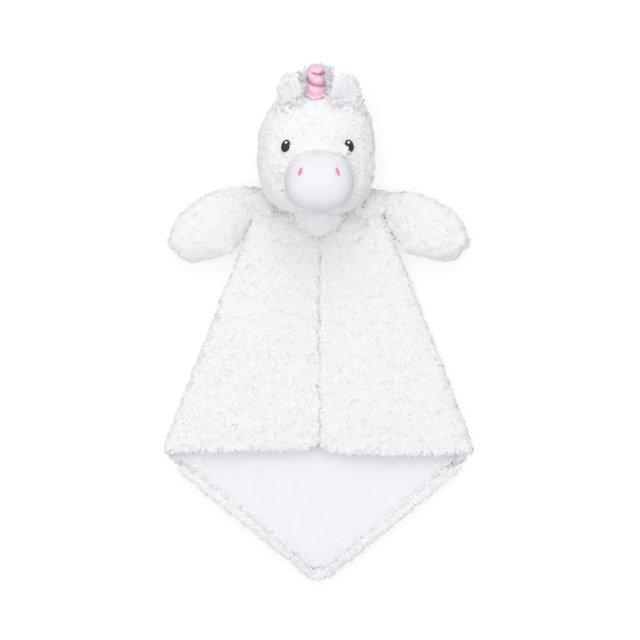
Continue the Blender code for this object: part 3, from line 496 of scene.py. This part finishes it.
def on_front(points, out):
    """True on the flaps' outer face, and false inside the fold and on the back."""
    inside = (out[:, 2] < -0.35) & (points[:, 2] < FLAP_INSIDE)
    return (points[:, 2] > FOLD_HEIGHT) & ~inside


def on_flap(side):
    def growth(points, out):
        own = points[:, 0] * side > -0.0001
        at_neck = np.hypot(points[:, 0] / 0.9, points[:, 1] - NECK_Y) < 0.0150
        return (own & on_front(points, out) & ~at_neck) * 1.0
    return growth


def on_back(points, out):
    """On the outer face below the side folds, and thinner where the blanket lies on the table."""
    inside = (out[:, 2] > 0.35) & (points[:, 2] > 0.003)
    beneath = (points[:, 2] <= FOLD_HEIGHT) & ~inside
    return beneath * np.where(out[:, 2] < -0.7, 0.75, 1.0)


def combed_down(points, out):
    """Down the front, over the hem, and inward along the seam, where the two flaps close."""
    near_seam = np.exp(-(points[:, 0] / 0.005) ** 2)
    inward = -np.sign(points[:, 0]) * near_seam * (points[:, 2] > FLAP_INSIDE)
    return directions(points, inward * 1.2, -1.0, -0.35)


def at_neckline(points, out):
    """Strongest on an oval band round the neck."""
    from_neck = np.hypot(points[:, 0] / 1.6, points[:, 1] - NECK_Y)
    near = np.exp(-((from_neck - 0.0155) / 0.0050) ** 4)
    at_collar = (np.abs(points[:, 0]) < 0.034) * (points[:, 1] > 0.05)
    return on_front(points, out) * near * at_collar


def toward_neck(points, out):
    return np.array([0.0, 0.0900, 0.0240]) - points


def not_beneath(points, out):
    return (out[:, 2] > -0.3) * 1.0


# The blanket's top edge is gathered round the neck and into the shoulder seams: each flap's
# corner puffs up beside the neck, and so does the edge between the neck and the arm. Each
# gather has its middle, its half sizes and its number of locks.
GATHERS = (("shoulder_gather", (0.0378, 0.0848, 0.0098), (0.0080, 0.0108, 0.0060), 620),
           ("flap_corner_gather", (0.0185, 0.0675, 0.0142), (0.0155, 0.0120, 0.0062), 900))
for name, side in SIDES.items():
    for part_name, middle, half_sizes, locks in GATHERS:
        bpy.ops.object.select_all(action="DESELECT")
        bpy.ops.mesh.primitive_ico_sphere_add(subdivisions=3, radius=1,
                                              location=(side * middle[0], middle[1], middle[2]))
        gather = bpy.context.object
        gather.name = f"{part_name}_{name}"
        gather.scale = half_sizes
        bpy.ops.object.transform_apply(location=True, rotation=False, scale=True)
        soften(gather, 1)
        raised(gather, 0.0, 0.0012, 0.008, 30 + side)
        gather.data.materials.append(pile_ground)
        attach(gather, "root")
        plant(f"pile_{part_name}_{name}", gather, "root", not_beneath, combed(-side * 0.2, -1.0, 0.0),
              locks, 155 + side, length=0.0058)

flap_piles = [plant("pile_neckline", blanket, "root", at_neckline, toward_neck, 1100, 150, length=0.0105,
                    width=0.0014, height=0.0022)]
for name, side in SIDES.items():
    flap_piles.append(plant(f"pile_flap_{name}", blanket, "root", on_flap(side), combed_down, 11500,
                            100 + side))
back_pile = plant("pile_back", blanket, "root", on_back, combed_down, 11500, 140, width=0.0013)


# The tail's rim: the edge of the plush, turned up round the edge of the lining, pressed flat and
# drawn together outward. Its short pile also covers the lining's edge.
RIM_FOOT = 0.0063
RIM_FLATTENING = 0.42
RIM_NARROWING = 0.26
RIM_MIDDLE = 0.0030

tail_rim = cloth_copy("tail_rim_ground", "tail_rim")
soften(tail_rim, 2)
raised(tail_rim, 0.0002, 0.0003, 0.008, 31)
points, _ = places(tail_rim)
past = past_tail_edge(points)
points[:, 2] -= RIM_FLATTENING * (points[:, 2] - RIM_FOOT)
put(tail_rim, outward_at_tail(points, RIM_NARROWING * (past.max() - past)))
tail_rim.data.materials.append(pile_ground)
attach(tail_rim, "root")
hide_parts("tail_rim")


def over_tail_edge(points, out):
    """Outward on the rim's outer half, and inward over the lining's edge on its inner half."""
    outward = np.clip((past_tail_edge(points) - RIM_MIDDLE) / 0.0012, -1, 1)
    side = np.sign(points[:, 0]) * TAIL_EDGE_OUT[0]
    return directions(points, side, TAIL_EDGE_OUT[1], 0.0) * outward[:, None]


def at_tail_edge(points, out):
    """A band along the edge of the lining, broadest next to the hem."""
    band = 0.0022 + 0.0080 * np.clip((points[:, 1] + 0.1080) / 0.015, 0, 1)
    in_sight = (out[:, 2] > -0.2) & (points[:, 1] < -0.0830)
    return ((past_tail_edge(points) > -band) & in_sight) * 0.8


plant("pile_tail_rim", tail_rim, "root", not_beneath, over_tail_edge, 4200, 150, length=0.0044,
      width=0.0007)
plant("pile_tail_edge", lining, "root", at_tail_edge, over_tail_edge, 1100, 151, length=0.0036,
      width=0.0007, height=0.0005, wave=0.0003)


# The centre seam: white thread in ladder stitches, drawn tight, so that the two flaps close
# over it and only a thin line shows.
seam = cloth_copy("centre_seam", "centre_seam_thread")
soften(seam, 1)
seam.data.materials.append(smooth_knit)
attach(seam, "root")
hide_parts("centre_seam_thread")


# The head, the arms and the neck: bags of the same plush, stuffed with polyester fibre. Each is
# blown up from its own stuffing, so that it is round and full, and its seams pull in.
LAST_STEP = 20
PRESSURE = 4.0


def stuff(name, filling, voxel, rise, body, finish, levels=1):
    """A stuffed cover, swollen by the cloth simulation from the shape of its stuffing."""
    piece = cloth_copy(name, filling)
    piece.data.remesh_voxel_size = voxel
    bpy.ops.object.voxel_remesh()
    start, out = places(piece)
    moved = out * rise
    cloth = piece.modifiers.new("blown_up", "CLOTH")
    cloth.settings.use_pressure = True
    cloth.settings.uniform_pressure_force = PRESSURE
    cloth.settings.effector_weights.gravity = 0
    for step in range(1, LAST_STEP + 1):
        bpy.context.scene.frame_set(step)
    swollen = piece.evaluated_get(bpy.context.evaluated_depsgraph_get())
    after = np.zeros(len(start) * 3)
    swollen.data.vertices.foreach_get("co", after)
    # The cover stands off its stuffing by the rise on average, more where it bulges.
    swell = ((after.reshape(-1, 3) - start) * out).sum(axis=1)
    moved = out * np.clip(rise + swell - swell.mean(), 0.4 * rise, 1.3 * rise)[:, None]
    piece.modifiers.remove(cloth)
    bpy.context.scene.frame_set(1)
    put(piece, start + moved)
    soften(piece, levels)
    bpy.ops.object.shade_smooth()
    piece.data.materials.append(finish)
    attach(piece, body)
    return piece


neck = stuff("neck_plush_ground", "neck_stuffing", 0.003, 0.0012, "neck", pile_ground)
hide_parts("neck_cover")


def all_over(points, out):
    return np.ones(len(points))


def off_table(points, out):
    return (points[:, 2] > 0.010) * 1.0


def combed_to_chest(points, out):
    return directions(points, points[:, 0] * 30, -1.0, -0.4)


def round_neck(points, out):
    """The neck's front half, where longer locks hang over its gathered edge."""
    return (np.abs(points[:, 2] - 0.0250) < 0.0080) * (points[:, 1] < 0.0800) * 1.0


def combed_apart(points, out):
    """Away from the neck's middle line, so that the locks end in a point over the seam."""
    return (points - [0, 0.0865, 0]) * [1.8, 1, 0] + [0, 0, -0.003]


plant("pile_neck", neck, "neck", off_table, combed_to_chest, 2400, 160, length=0.0060, width=0.0012)
plant("pile_neck_fringe", neck, "neck", round_neck, combed_apart, 560, 161, length=0.0090, width=0.0014,
      height=0.0006, wave=0.0004)

# The head's bag is drawn in a little at its sides, below the ears.
SIDE_PULL = 0.0019
head = stuff("head_plush_ground", "head_stuffing", 0.004, 0.0028, "head", pile_ground)
raised(head, 0.0, 0.0005, 0.011, 41)
points, out = places(head)
points[:, 0] -= SIDE_PULL * np.abs(out[:, 0]) * np.clip((0.150 - points[:, 1]) / 0.020, 0, 1)
put(head, points)
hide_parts("head_cover")

# The opening for the face, the neck's socket and the eyes, where no pile grows.
FACE_Y = 0.0972
FACE_HALF_WIDTH = 0.0236
FACE_HALF_HEIGHT = 0.0205
FACE_SQUARENESS = 2.3
FACE_SIDE = 0.05
NECK_SOCKET = np.array([0, 0.0825, 0.0243])
EYES = {"left": (-0.0224, 0.1196), "right": (0.0188, 0.1212)}


def on_head(points, out):
    """Everywhere but on the face opening, the eyes and the neck's socket."""
    x, y, z = points.T
    wide = (np.abs(x) / FACE_HALF_WIDTH) ** FACE_SQUARENESS
    high = (np.abs(y - FACE_Y) / FACE_HALF_HEIGHT) ** FACE_SQUARENESS
    face = (wide + high) ** (1 / FACE_SQUARENESS)
    grown = np.where(z > FACE_SIDE, np.clip((face - 0.90) / 0.12, 0, 1), 1.0)
    for eye_x, eye_y in EYES.values():
        near = np.hypot((x - eye_x) / 0.0034, (y - eye_y) / 0.0048)
        grown = np.where(z > FACE_SIDE, grown * np.clip((near - 0.95) / 0.6, 0, 1), grown)
    socket = np.linalg.norm(points - NECK_SOCKET, axis=1) < 0.0200
    return grown * ~socket


def combed_from_face(points, out):
    return points - np.array([0, FACE_Y + 0.004, 0.085])


def on_crown(points, out):
    """Between the horn and the ears, and up to the top of the head."""
    x, y, z = points.T
    beside = np.clip((np.abs(x + 0.002) - 0.0105) / 0.002, 0, 1) * (np.abs(x) < 0.026)
    return beside * np.clip((y - 0.1440) / 0.004, 0, 1) * (z > 0.030)


def combed_up(points, out):
    return directions(points, points[:, 0] * 12, 1.0, 0.2)


def on_brow(points, out):
    """A band above the muzzle, whose locks hang over its upper edge."""
    x, y, z = points.T
    return (np.abs(x) < 0.0165) * np.exp(-((y - 0.1205) / 0.0032) ** 4) * (z > FACE_SIDE)


plant("pile_head", head, "head", on_head, combed_from_face, 11800, 170)
plant("pile_crown", head, "head", on_crown, combed_up, 900, 171, length=0.0100, width=0.0012,
      height=0.0020)
plant("pile_brow", head, "head", on_brow, combed(0, -1.0, 0.2), 420, 172, length=0.0062, width=0.0010,
      height=0.0012)

# Locks below the eyes stand up over them: over the lower half of the right eye, and over the
# left eye's inner edge. Each tuft has its middle, its spread, its combing and its locks' number,
# length and height.
OVER_EYES = (("right", (0.0160, 0.1163), 0.0023, (0.30, 1.0, 0.25), 100, 0.0044, 0.0026),
             ("left", (-0.0192, 0.1160), 0.0016, (-0.25, 1.0, 0.25), 40, 0.0042, 0.0020))
for name, (eye_x, eye_y), spread, combing, locks, length, height in OVER_EYES:
    def below_eye(points, out):
        x, y, z = points.T
        return np.exp(-(np.hypot(x - eye_x, y - eye_y) / spread) ** 4) * (z > FACE_SIDE)

    plant(f"pile_over_{name}_eye", head, "head", below_eye, combed(*combing), locks, 173, length=length,
          height=height, wave=0.0)

# The muzzle's fabric: the same smooth knit, brushed, and a little deeper in tone.
muzzle_knit, tree = new_material("brushed_white_polyester_knit")
place = add_node(tree, "ShaderNodeTexCoord")
slow = add_node(tree, "ShaderNodeTexNoise", {"Vector": place.outputs["Object"], "Scale": 60, "Detail": 3})
tone = add_node(tree, "ShaderNodeMix", {0: slow.outputs[0], 6: linear("#EAE9EE"), 7: linear("#EFEEF3")},
                data_type="RGBA")
nap = add_node(tree, "ShaderNodeTexNoise", {"Vector": place.outputs["Object"], "Scale": 1900, "Detail": 2})
relief = add_node(tree, "ShaderNodeBump", {"Height": nap.outputs[0], "Distance": 0.0002, "Strength": 0.35})
brushed = add_node(tree, "ShaderNodeBsdfPrincipled", {"Base Color": tone.outputs[2], "Roughness": 0.95,
                   "Normal": relief.outputs[0], "Sheen Weight": 0.15, "Specular IOR Level": 0.2})
add_node(tree, "ShaderNodeOutputMaterial", {"Surface": brushed.outputs[0]})
muzzle = stuff("muzzle", "muzzle_stuffing", 0.003, 0.0018, "head", muzzle_knit, levels=2)
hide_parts("muzzle_cover")


def on_muzzle_top(points, out):
    """Short pile on the muzzle's bridge, thinning out toward the nostrils."""
    x, y, z = points.T
    return np.clip((y - 0.1075 + 3.5 * x ** 2) / 0.008, 0, 1) * (z > 0.055)


plant("pile_muzzle_top", muzzle, "head", on_muzzle_top, combed(0, -1.0, 0.1), 900, 174, length=0.0034,
      width=0.0008, height=0.0004, wave=0.0002)

# How each arm's shape differs from its stuffing's: its upper edge is lifted, its outer half
# drops, its belly sags, its tip reaches out and its shoulder is pulled in.
ARM_TOP_LIFT = {"left": 0.0020, "right": -0.0006}
ARM_DROP = 0.0016
ARM_BELLY = 0.0008
ARM_TIP_REACH = 0.0026
ARM_SHOULDER_PULL = 0.0028


def hang(piece, name):
    """Lets an arm's outer half hang down, and its upper edge sit as high as its seam holds it."""
    points, _ = places(piece)
    outer = np.clip((np.abs(points[:, 0]) - 0.075) / 0.030, 0, 1)
    high = np.clip((points[:, 1] - 0.055) / 0.020, 0, 1)
    inner = np.clip((0.105 - np.abs(points[:, 0])) / 0.020, 0, 1)
    points[:, 1] += ARM_TOP_LIFT[name] * high * inner - ARM_DROP * outer
    points[:, 1] -= ARM_BELLY * (1 - high) * np.exp(-((np.abs(points[:, 0]) - 0.090) / 0.014) ** 2)
    at_tip = np.clip((np.abs(points[:, 0]) - 0.094) / 0.008, 0, 1)
    at_tip = at_tip * np.exp(-((points[:, 1] - 0.0590) / 0.006) ** 2)
    points[:, 0] += SIDES[name] * (ARM_TIP_REACH * at_tip - ARM_SHOULDER_PULL * outer * high)
    put(piece, points)


for name, side in SIDES.items():
    arm = stuff(f"arm_{name}_plush_ground", f"arm_{name}_stuffing", 0.003, 0.0016, f"arm_{name}",
                pile_ground)
    hang(arm, name)
    raised(arm, 0.0, 0.0005, 0.010, 50 + side)
    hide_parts(f"arm_{name}_cover")

    def combed_out(points, out):
        """Toward the tip, but over the shoulder seam next to the body."""
        past_seam = np.abs(points[:, 0]) + 0.36 * points[:, 1] - 0.0830
        return directions(points, side * np.clip(past_seam / 0.018, -0.5, 1), -0.3, 0.0)

    plant(f"pile_arm_{name}", arm, f"arm_{name}", all_over, combed_out, 6200, 180 + side)


# The eyes and the nostrils: satin stitches of glossy thread, worked through the cover into the
# stuffing, so that each stands up a little as a small padded oval.
def thread_material(name, dark, light, roughness):
    """Rayon embroidery thread in parallel stitches that shine along their length. Each stitch is painted
    lighter along its top, a painted sheen, and darker in the groove beside the next, a painted shade. They
    lie 0.4 mm apart, and are drawn at 0.8 mm so that they show."""
    finish, tree = new_material(name)
    place = add_node(tree, "ShaderNodeTexCoord")
    rows = add_node(tree, "ShaderNodeTexWave", {"Vector": place.outputs["Object"], "Scale": 390,
                    "Distortion": 1.5, "Detail": 1}, wave_type="BANDS", bands_direction="Y")
    # Painted sheen and shade: the stitches' raised middles take the light colour and the grooves the dark
    # one.
    tone = add_node(tree, "ShaderNodeMix", {0: rows.outputs["Fac"], 6: linear(dark), 7: linear(light)},
                    data_type="RGBA")
    relief = add_node(tree, "ShaderNodeBump", {"Height": rows.outputs["Fac"], "Distance": 0.0002,
                      "Strength": 0.6})
    thread = add_node(tree, "ShaderNodeBsdfPrincipled", {"Base Color": tone.outputs[2],
                      "Roughness": roughness, "Normal": relief.outputs[0], "Specular IOR Level": 0.4})
    add_node(tree, "ShaderNodeOutputMaterial", {"Surface": thread.outputs[0]})
    return finish


black_thread = thread_material("black_satin_stitch", "#17171B", "#2E2E35", 0.38)
white_thread = thread_material("white_satin_stitch", "#E9E9EE", "#FAFAFC", 0.5)
pink_stitch = thread_material("pink_satin_stitch", "#DE6C8A", "#F5A6BA", 0.5)
STITCHED = (("eye_left", black_thread, "black_embroidery"),
            ("eye_right", black_thread, "black_embroidery"),
            ("eye_left_glint", white_thread, "white_thread"),
            ("eye_right_glint", white_thread, "white_thread"),
            ("nostril_left", pink_stitch, "pink_embroidery"),
            ("nostril_right", pink_stitch, "pink_embroidery"))
for name, finish, slot in STITCHED:
    patch = cloth_copy(f"{name}_stitches", name)
    soften(patch, 2)
    patch.data.materials.append(finish)
    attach(patch, "head")
    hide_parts(name)


# The horn: pink satin fabric, stuffed, with a thread wound round it so tightly that it swells
# into soft rolls between the turns, and gathered at the tip.
HORN_BASE = np.array([-0.0020, 0.1555, 0.0584])
HORN_RISE = math.radians(38)
HORN_LENGTH = 0.0220
HORN_TURNS = 2.6
# What lies farther than this from the horn's middle line is the fabric's outer side.
HORN_SKIN = 0.0048
horn_way = np.array([0, math.cos(HORN_RISE), math.sin(HORN_RISE)])
horn_side = np.array([1.0, 0, 0])
horn_up = np.cross(horn_side, horn_way)


def round_horn(points):
    """Share along the horn, angle round it and distance from its middle line."""
    apart = points - HORN_BASE
    share = apart @ horn_way / HORN_LENGTH
    across, up = apart @ horn_side, apart @ horn_up
    return share, np.arctan2(up, across), np.hypot(across, up)


horn = cloth_copy("horn_fabric", "horn_cover")
soften(horn, 2)
points, normals = places(horn)
share, angle, far = round_horn(points)
# Inward at the winding's grooves, at the crumpled tip and in one dent beside it.
turn = (share * HORN_TURNS - angle / (2 * math.pi)) % 1
groove = np.exp(-(np.minimum(turn, 1 - turn) / 0.09) ** 2)
groove = groove * np.clip(share * 6, 0, 1) * np.clip((0.95 - share) * 9, 0, 1)
crumple = np.clip((share - 0.55) / 0.4, 0, 1) * np.sin(angle * 7 + 5 * share)
dent = np.exp(-((share - 0.80) / 0.09) ** 2 - ((angle + 1.10) / 0.38) ** 2)
inward = -0.0003 - 0.0007 * groove - 0.00035 * crumple - 0.0020 * dent + 0.0002 * drift(points, 0.006, 61)
outer_skin = far > HORN_SKIN
put(horn, points + normals * (inward * outer_skin)[:, None])
# Pink polyester satin: a soft sheen over a weave 0.3 mm apart, its pink a little deeper or paler in places at
# random.
pink_satin, tree = new_material("pink_polyester_satin")
place = add_node(tree, "ShaderNodeTexCoord")
slow = add_node(tree, "ShaderNodeTexNoise", {"Vector": place.outputs["Object"], "Scale": 240, "Detail": 2})
tone = add_node(tree, "ShaderNodeMix", {0: slow.outputs[0], 6: linear("#F8C3DE"), 7: linear("#FFE0EF")},
                data_type="RGBA")
weave = add_node(tree, "ShaderNodeTexVoronoi", {"Vector": place.outputs["Object"], "Scale": 3300})
relief = add_node(tree, "ShaderNodeBump", {"Height": weave.outputs[0], "Distance": 0.0001, "Strength": 0.3})
satin = add_node(tree, "ShaderNodeBsdfPrincipled", {"Base Color": tone.outputs[2], "Roughness": 0.5,
                 "Normal": relief.outputs[0], "Sheen Weight": 0.35, "Sheen Roughness": 0.35,
                 "Specular IOR Level": 0.35})
add_node(tree, "ShaderNodeOutputMaterial", {"Surface": satin.outputs[0]})
horn.data.materials.append(pink_satin)
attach(horn, "head")
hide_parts("horn_cover")

# The thread round the horn: two strands of pink polyester, twisted together. Its stripes, drawn about 1.4 mm
# apart, are painted sheen on the ridges of the twist and painted shade in its grooves. It follows the fabric
# inward.
THREAD_PULL = 0.00055
horn_thread = cloth_copy("horn_winding", "horn_thread")
soften(horn_thread, 1)
points, _ = places(horn_thread)
share, _, far = round_horn(points)
middle = HORN_BASE + np.outer(share * HORN_LENGTH, horn_way)
put(horn_thread, middle + (points - middle) * (1 - THREAD_PULL / far)[:, None])
wound_thread, tree = new_material("pink_twisted_thread")
place = add_node(tree, "ShaderNodeTexCoord")
twist = add_node(tree, "ShaderNodeTexWave", {"Vector": place.outputs["Object"], "Scale": 260},
                 wave_type="BANDS", bands_direction="DIAGONAL")
# Painted sheen and shade: the twist's ridges take the lighter pink and its grooves the darker one.
tone = add_node(tree, "ShaderNodeMix", {0: twist.outputs["Fac"], 6: linear("#A9577F"), 7: linear("#CC82A9")},
                data_type="RGBA")
relief = add_node(tree, "ShaderNodeBump", {"Height": twist.outputs["Fac"], "Distance": 0.0002,
                  "Strength": 0.7})
thread = add_node(tree, "ShaderNodeBsdfPrincipled", {"Base Color": tone.outputs[2], "Roughness": 0.55,
                  "Normal": relief.outputs[0]})
add_node(tree, "ShaderNodeOutputMaterial", {"Surface": thread.outputs[0]})
horn_thread.data.materials.append(wound_thread)
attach(horn_thread, "head")
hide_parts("horn_thread")


# The forelock: a tuft of silver grey fibre, sewn in behind the horn. Its strands stand up past
# the horn on both sides.
GROUND_STRAND = [0.5, 0.35, 0]
silver_fibre, tree = new_material("silver_metallised_fibre")
strand = add_node(tree, "ShaderNodeAttribute", attribute_name="strand")
strand_parts = add_node(tree, "ShaderNodeSeparateXYZ", {0: strand.outputs["Vector"]})
tone = add_node(tree, "ShaderNodeMix", {0: strand_parts.outputs[1], 6: linear("#E6E8ED"),
                7: linear("#FFFFFF")}, data_type="RGBA")
fibre = add_node(tree, "ShaderNodeBsdfPrincipled", {"Base Color": tone.outputs[2], "Roughness": 0.35,
                 "Specular IOR Level": 0.6})
add_node(tree, "ShaderNodeOutputMaterial", {"Surface": fibre.outputs[0]})
forelock = cloth_copy("forelock_ground", "forelock")
soften(forelock, 2)
raised(forelock, -0.0006)
forelock.data.materials.append(silver_fibre)
# The tuft's ground has the shade of a rather dark strand, taken halfway along it.
strand = forelock.data.attributes.new("strand", "FLOAT_VECTOR", "POINT")
strand.data.foreach_set("vector", np.tile(GROUND_STRAND, len(forelock.data.vertices)))
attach(forelock, "head")
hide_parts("forelock")


def standing_up(points, out):
    """Up past the horn, and a little apart."""
    return directions(points, points[:, 0] * 12 + 0.02, 1.0, 0.35)


def beside_horn(points, out):
    """A ring on the crown, just outside the horn's foot and behind its front."""
    _, _, far = round_horn(points)
    near = (far > 0.0078) & (far < 0.0100) & (points[:, 1] > 0.1530) & (points[:, 2] > 0.045)
    return near * 1.0


def at_forelock_foot(points, out):
    """A patch of the crown to the right of the horn, where pile stands over the tuft's seam."""
    x, y, z = points.T
    return ((x > 0.0030) & (x < 0.0130) & (y > 0.1570) & (y < 0.1650) & (z > 0.040)) * 1.0


plant("forelock_strands", forelock, "head", all_over, standing_up, 260, 190, length=0.0070,
      width=0.0011, height=0.0010, wave=0, finish=silver_fibre)
plant("forelock_side_strands", head, "head", beside_horn, standing_up, 120, 191, length=0.0090,
      width=0.0010, height=0.0022, wave=0, finish=silver_fibre)
plant("pile_forelock_foot", head, "head", at_forelock_foot, standing_up, 130, 192, length=0.0080,
      width=0.0011, height=0.0030)


# The ears: plush outside, smooth inside, sewn flat to the crown so that they stand a little up.
# Their pile is clipped short.
EAR_LENGTH = 0.0200
EAR_HALF_WIDTH = 0.0095
EAR_WIDTHS = {"left": 0.86, "right": 1.16}
EAR_SHIFTS = {"left": 0.0008, "right": -0.0020}


def pulled(piece, name, root, line):
    """The left ear is pulled narrower toward its tip, and the right one is spread broad."""
    points, _ = places(piece)
    wide = (points - root) @ line
    put(piece, points + np.outer(wide * (EAR_WIDTHS[name] - 1), line) + [EAR_SHIFTS[name], 0, 0])


for name, side in SIDES.items():
    flop = next(joint for joint in frame["joints"] if joint["name"] == f"ear_{name}_flop")
    ear_root = np.array(flop["pos_m"])
    ear_along = np.array([side * 0.091, 0.914, 0.396])
    ear_line = np.array(flop["axis"])
    ear_front = np.cross(ear_line, ear_along)
    ear_front *= np.sign(ear_front[2])

    def on_ear_plan(points):
        """Where the points lie on the ear: the share of its length and of its half width."""
        apart = points - ear_root
        return apart @ ear_along / EAR_LENGTH, np.abs(apart @ ear_line) / EAR_HALF_WIDTH

    def on_ear(points, out):
        high, wide = on_ear_plan(points)
        lined = (out @ ear_front > 0.4) & (wide < 0.55) & (high > 0.12) & (high < 0.80)
        return np.where(lined, 0.0, 0.85)

    def on_ear_rim(points, out):
        high, wide = on_ear_plan(points)
        return ((wide > 0.34) | (high > 0.66)) * 0.8

    def combed_to_tip(points, out):
        """Toward the ear's tip, and over the seam at its root."""
        high, wide = on_ear_plan(points)
        return ear_along * np.clip((high - 0.26) / 0.10, -1, 1)[:, None] + out * 0.1

    ear = cloth_copy(f"ear_{name}_plush_ground", f"ear_{name}_back")
    soften(ear, 2)
    raised(ear, -0.0005, 0.0002, 0.007, 71)
    pulled(ear, name, ear_root, ear_line)
    ear.data.materials.append(pile_ground)
    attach(ear, f"ear_{name}")
    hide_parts(f"ear_{name}_back")

    inner = cloth_copy(f"ear_{name}_lining", f"ear_{name}_inner")
    soften(inner, 2)
    pulled(inner, name, ear_root, ear_line)
    inner.data.materials.append(smooth_knit)
    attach(inner, f"ear_{name}")
    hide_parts(f"ear_{name}_inner")

    plant(f"pile_ear_{name}", ear, f"ear_{name}", on_ear, combed_to_tip, 2300, 200 + side, length=0.0036,
          width=0.0007, height=0.0008, wave=0.0004)
    plant(f"pile_ear_rim_{name}", inner, f"ear_{name}", on_ear_rim, combed_to_tip, 420, 204 + side,
          length=0.0036, width=0.0007, height=0.0008, wave=0.0004)


# The crown's pile is combed up over the seams at the roots of the ears.
def below_ears(points, out):
    x, y, z = points.T
    band = np.exp(-((y - 0.1440) / 0.0034) ** 4) * (z > 0.045)
    return band * np.clip((np.abs(x + 0.001) - 0.0085) / 0.003, 0, 1) * (np.abs(x) < 0.031)


plant("pile_ear_roots", head, "head", below_ears, combed(0, 1.0, 0.45), 700, 209, length=0.0080,
      width=0.0011, height=0.0030)


# The stuffing: loose polyester fibre, pushed into the head, the muzzle, the horn, the neck and
# the arms. It is never seen, and fills each cover to its walls.
fibre_fill, tree = new_material("polyester_fibre_fill")
place = add_node(tree, "ShaderNodeTexCoord")
tangle = add_node(tree, "ShaderNodeTexNoise", {"Vector": place.outputs["Object"], "Scale": 700, "Detail": 4})
tone = add_node(tree, "ShaderNodeMix", {0: tangle.outputs[0], 6: linear("#DEDEDC"), 7: linear("#F6F6F4")},
                data_type="RGBA")
relief = add_node(tree, "ShaderNodeBump", {"Height": tangle.outputs[0], "Distance": 0.0005, "Strength": 0.8})
fill = add_node(tree, "ShaderNodeBsdfPrincipled", {"Base Color": tone.outputs[2], "Roughness": 1.0,
                "Normal": relief.outputs[0]})
add_node(tree, "ShaderNodeOutputMaterial", {"Surface": fill.outputs[0]})
FILLED = (("head", "head"), ("muzzle", "head"), ("horn", "head"), ("neck", "neck"),
          ("arm_left", "arm_left"), ("arm_right", "arm_right"))
for name, body in FILLED:
    wad = cloth_copy(f"{name}_fibre_fill", f"{name}_stuffing")
    soften(wad, 1)
    raised(wad, -0.0003, 0.0002, 0.008, 81)
    if name.startswith("arm_"):
        hang(wad, name[4:])
    wad.data.materials.append(fibre_fill)
    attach(wad, body)
    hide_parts(f"{name}_stuffing")
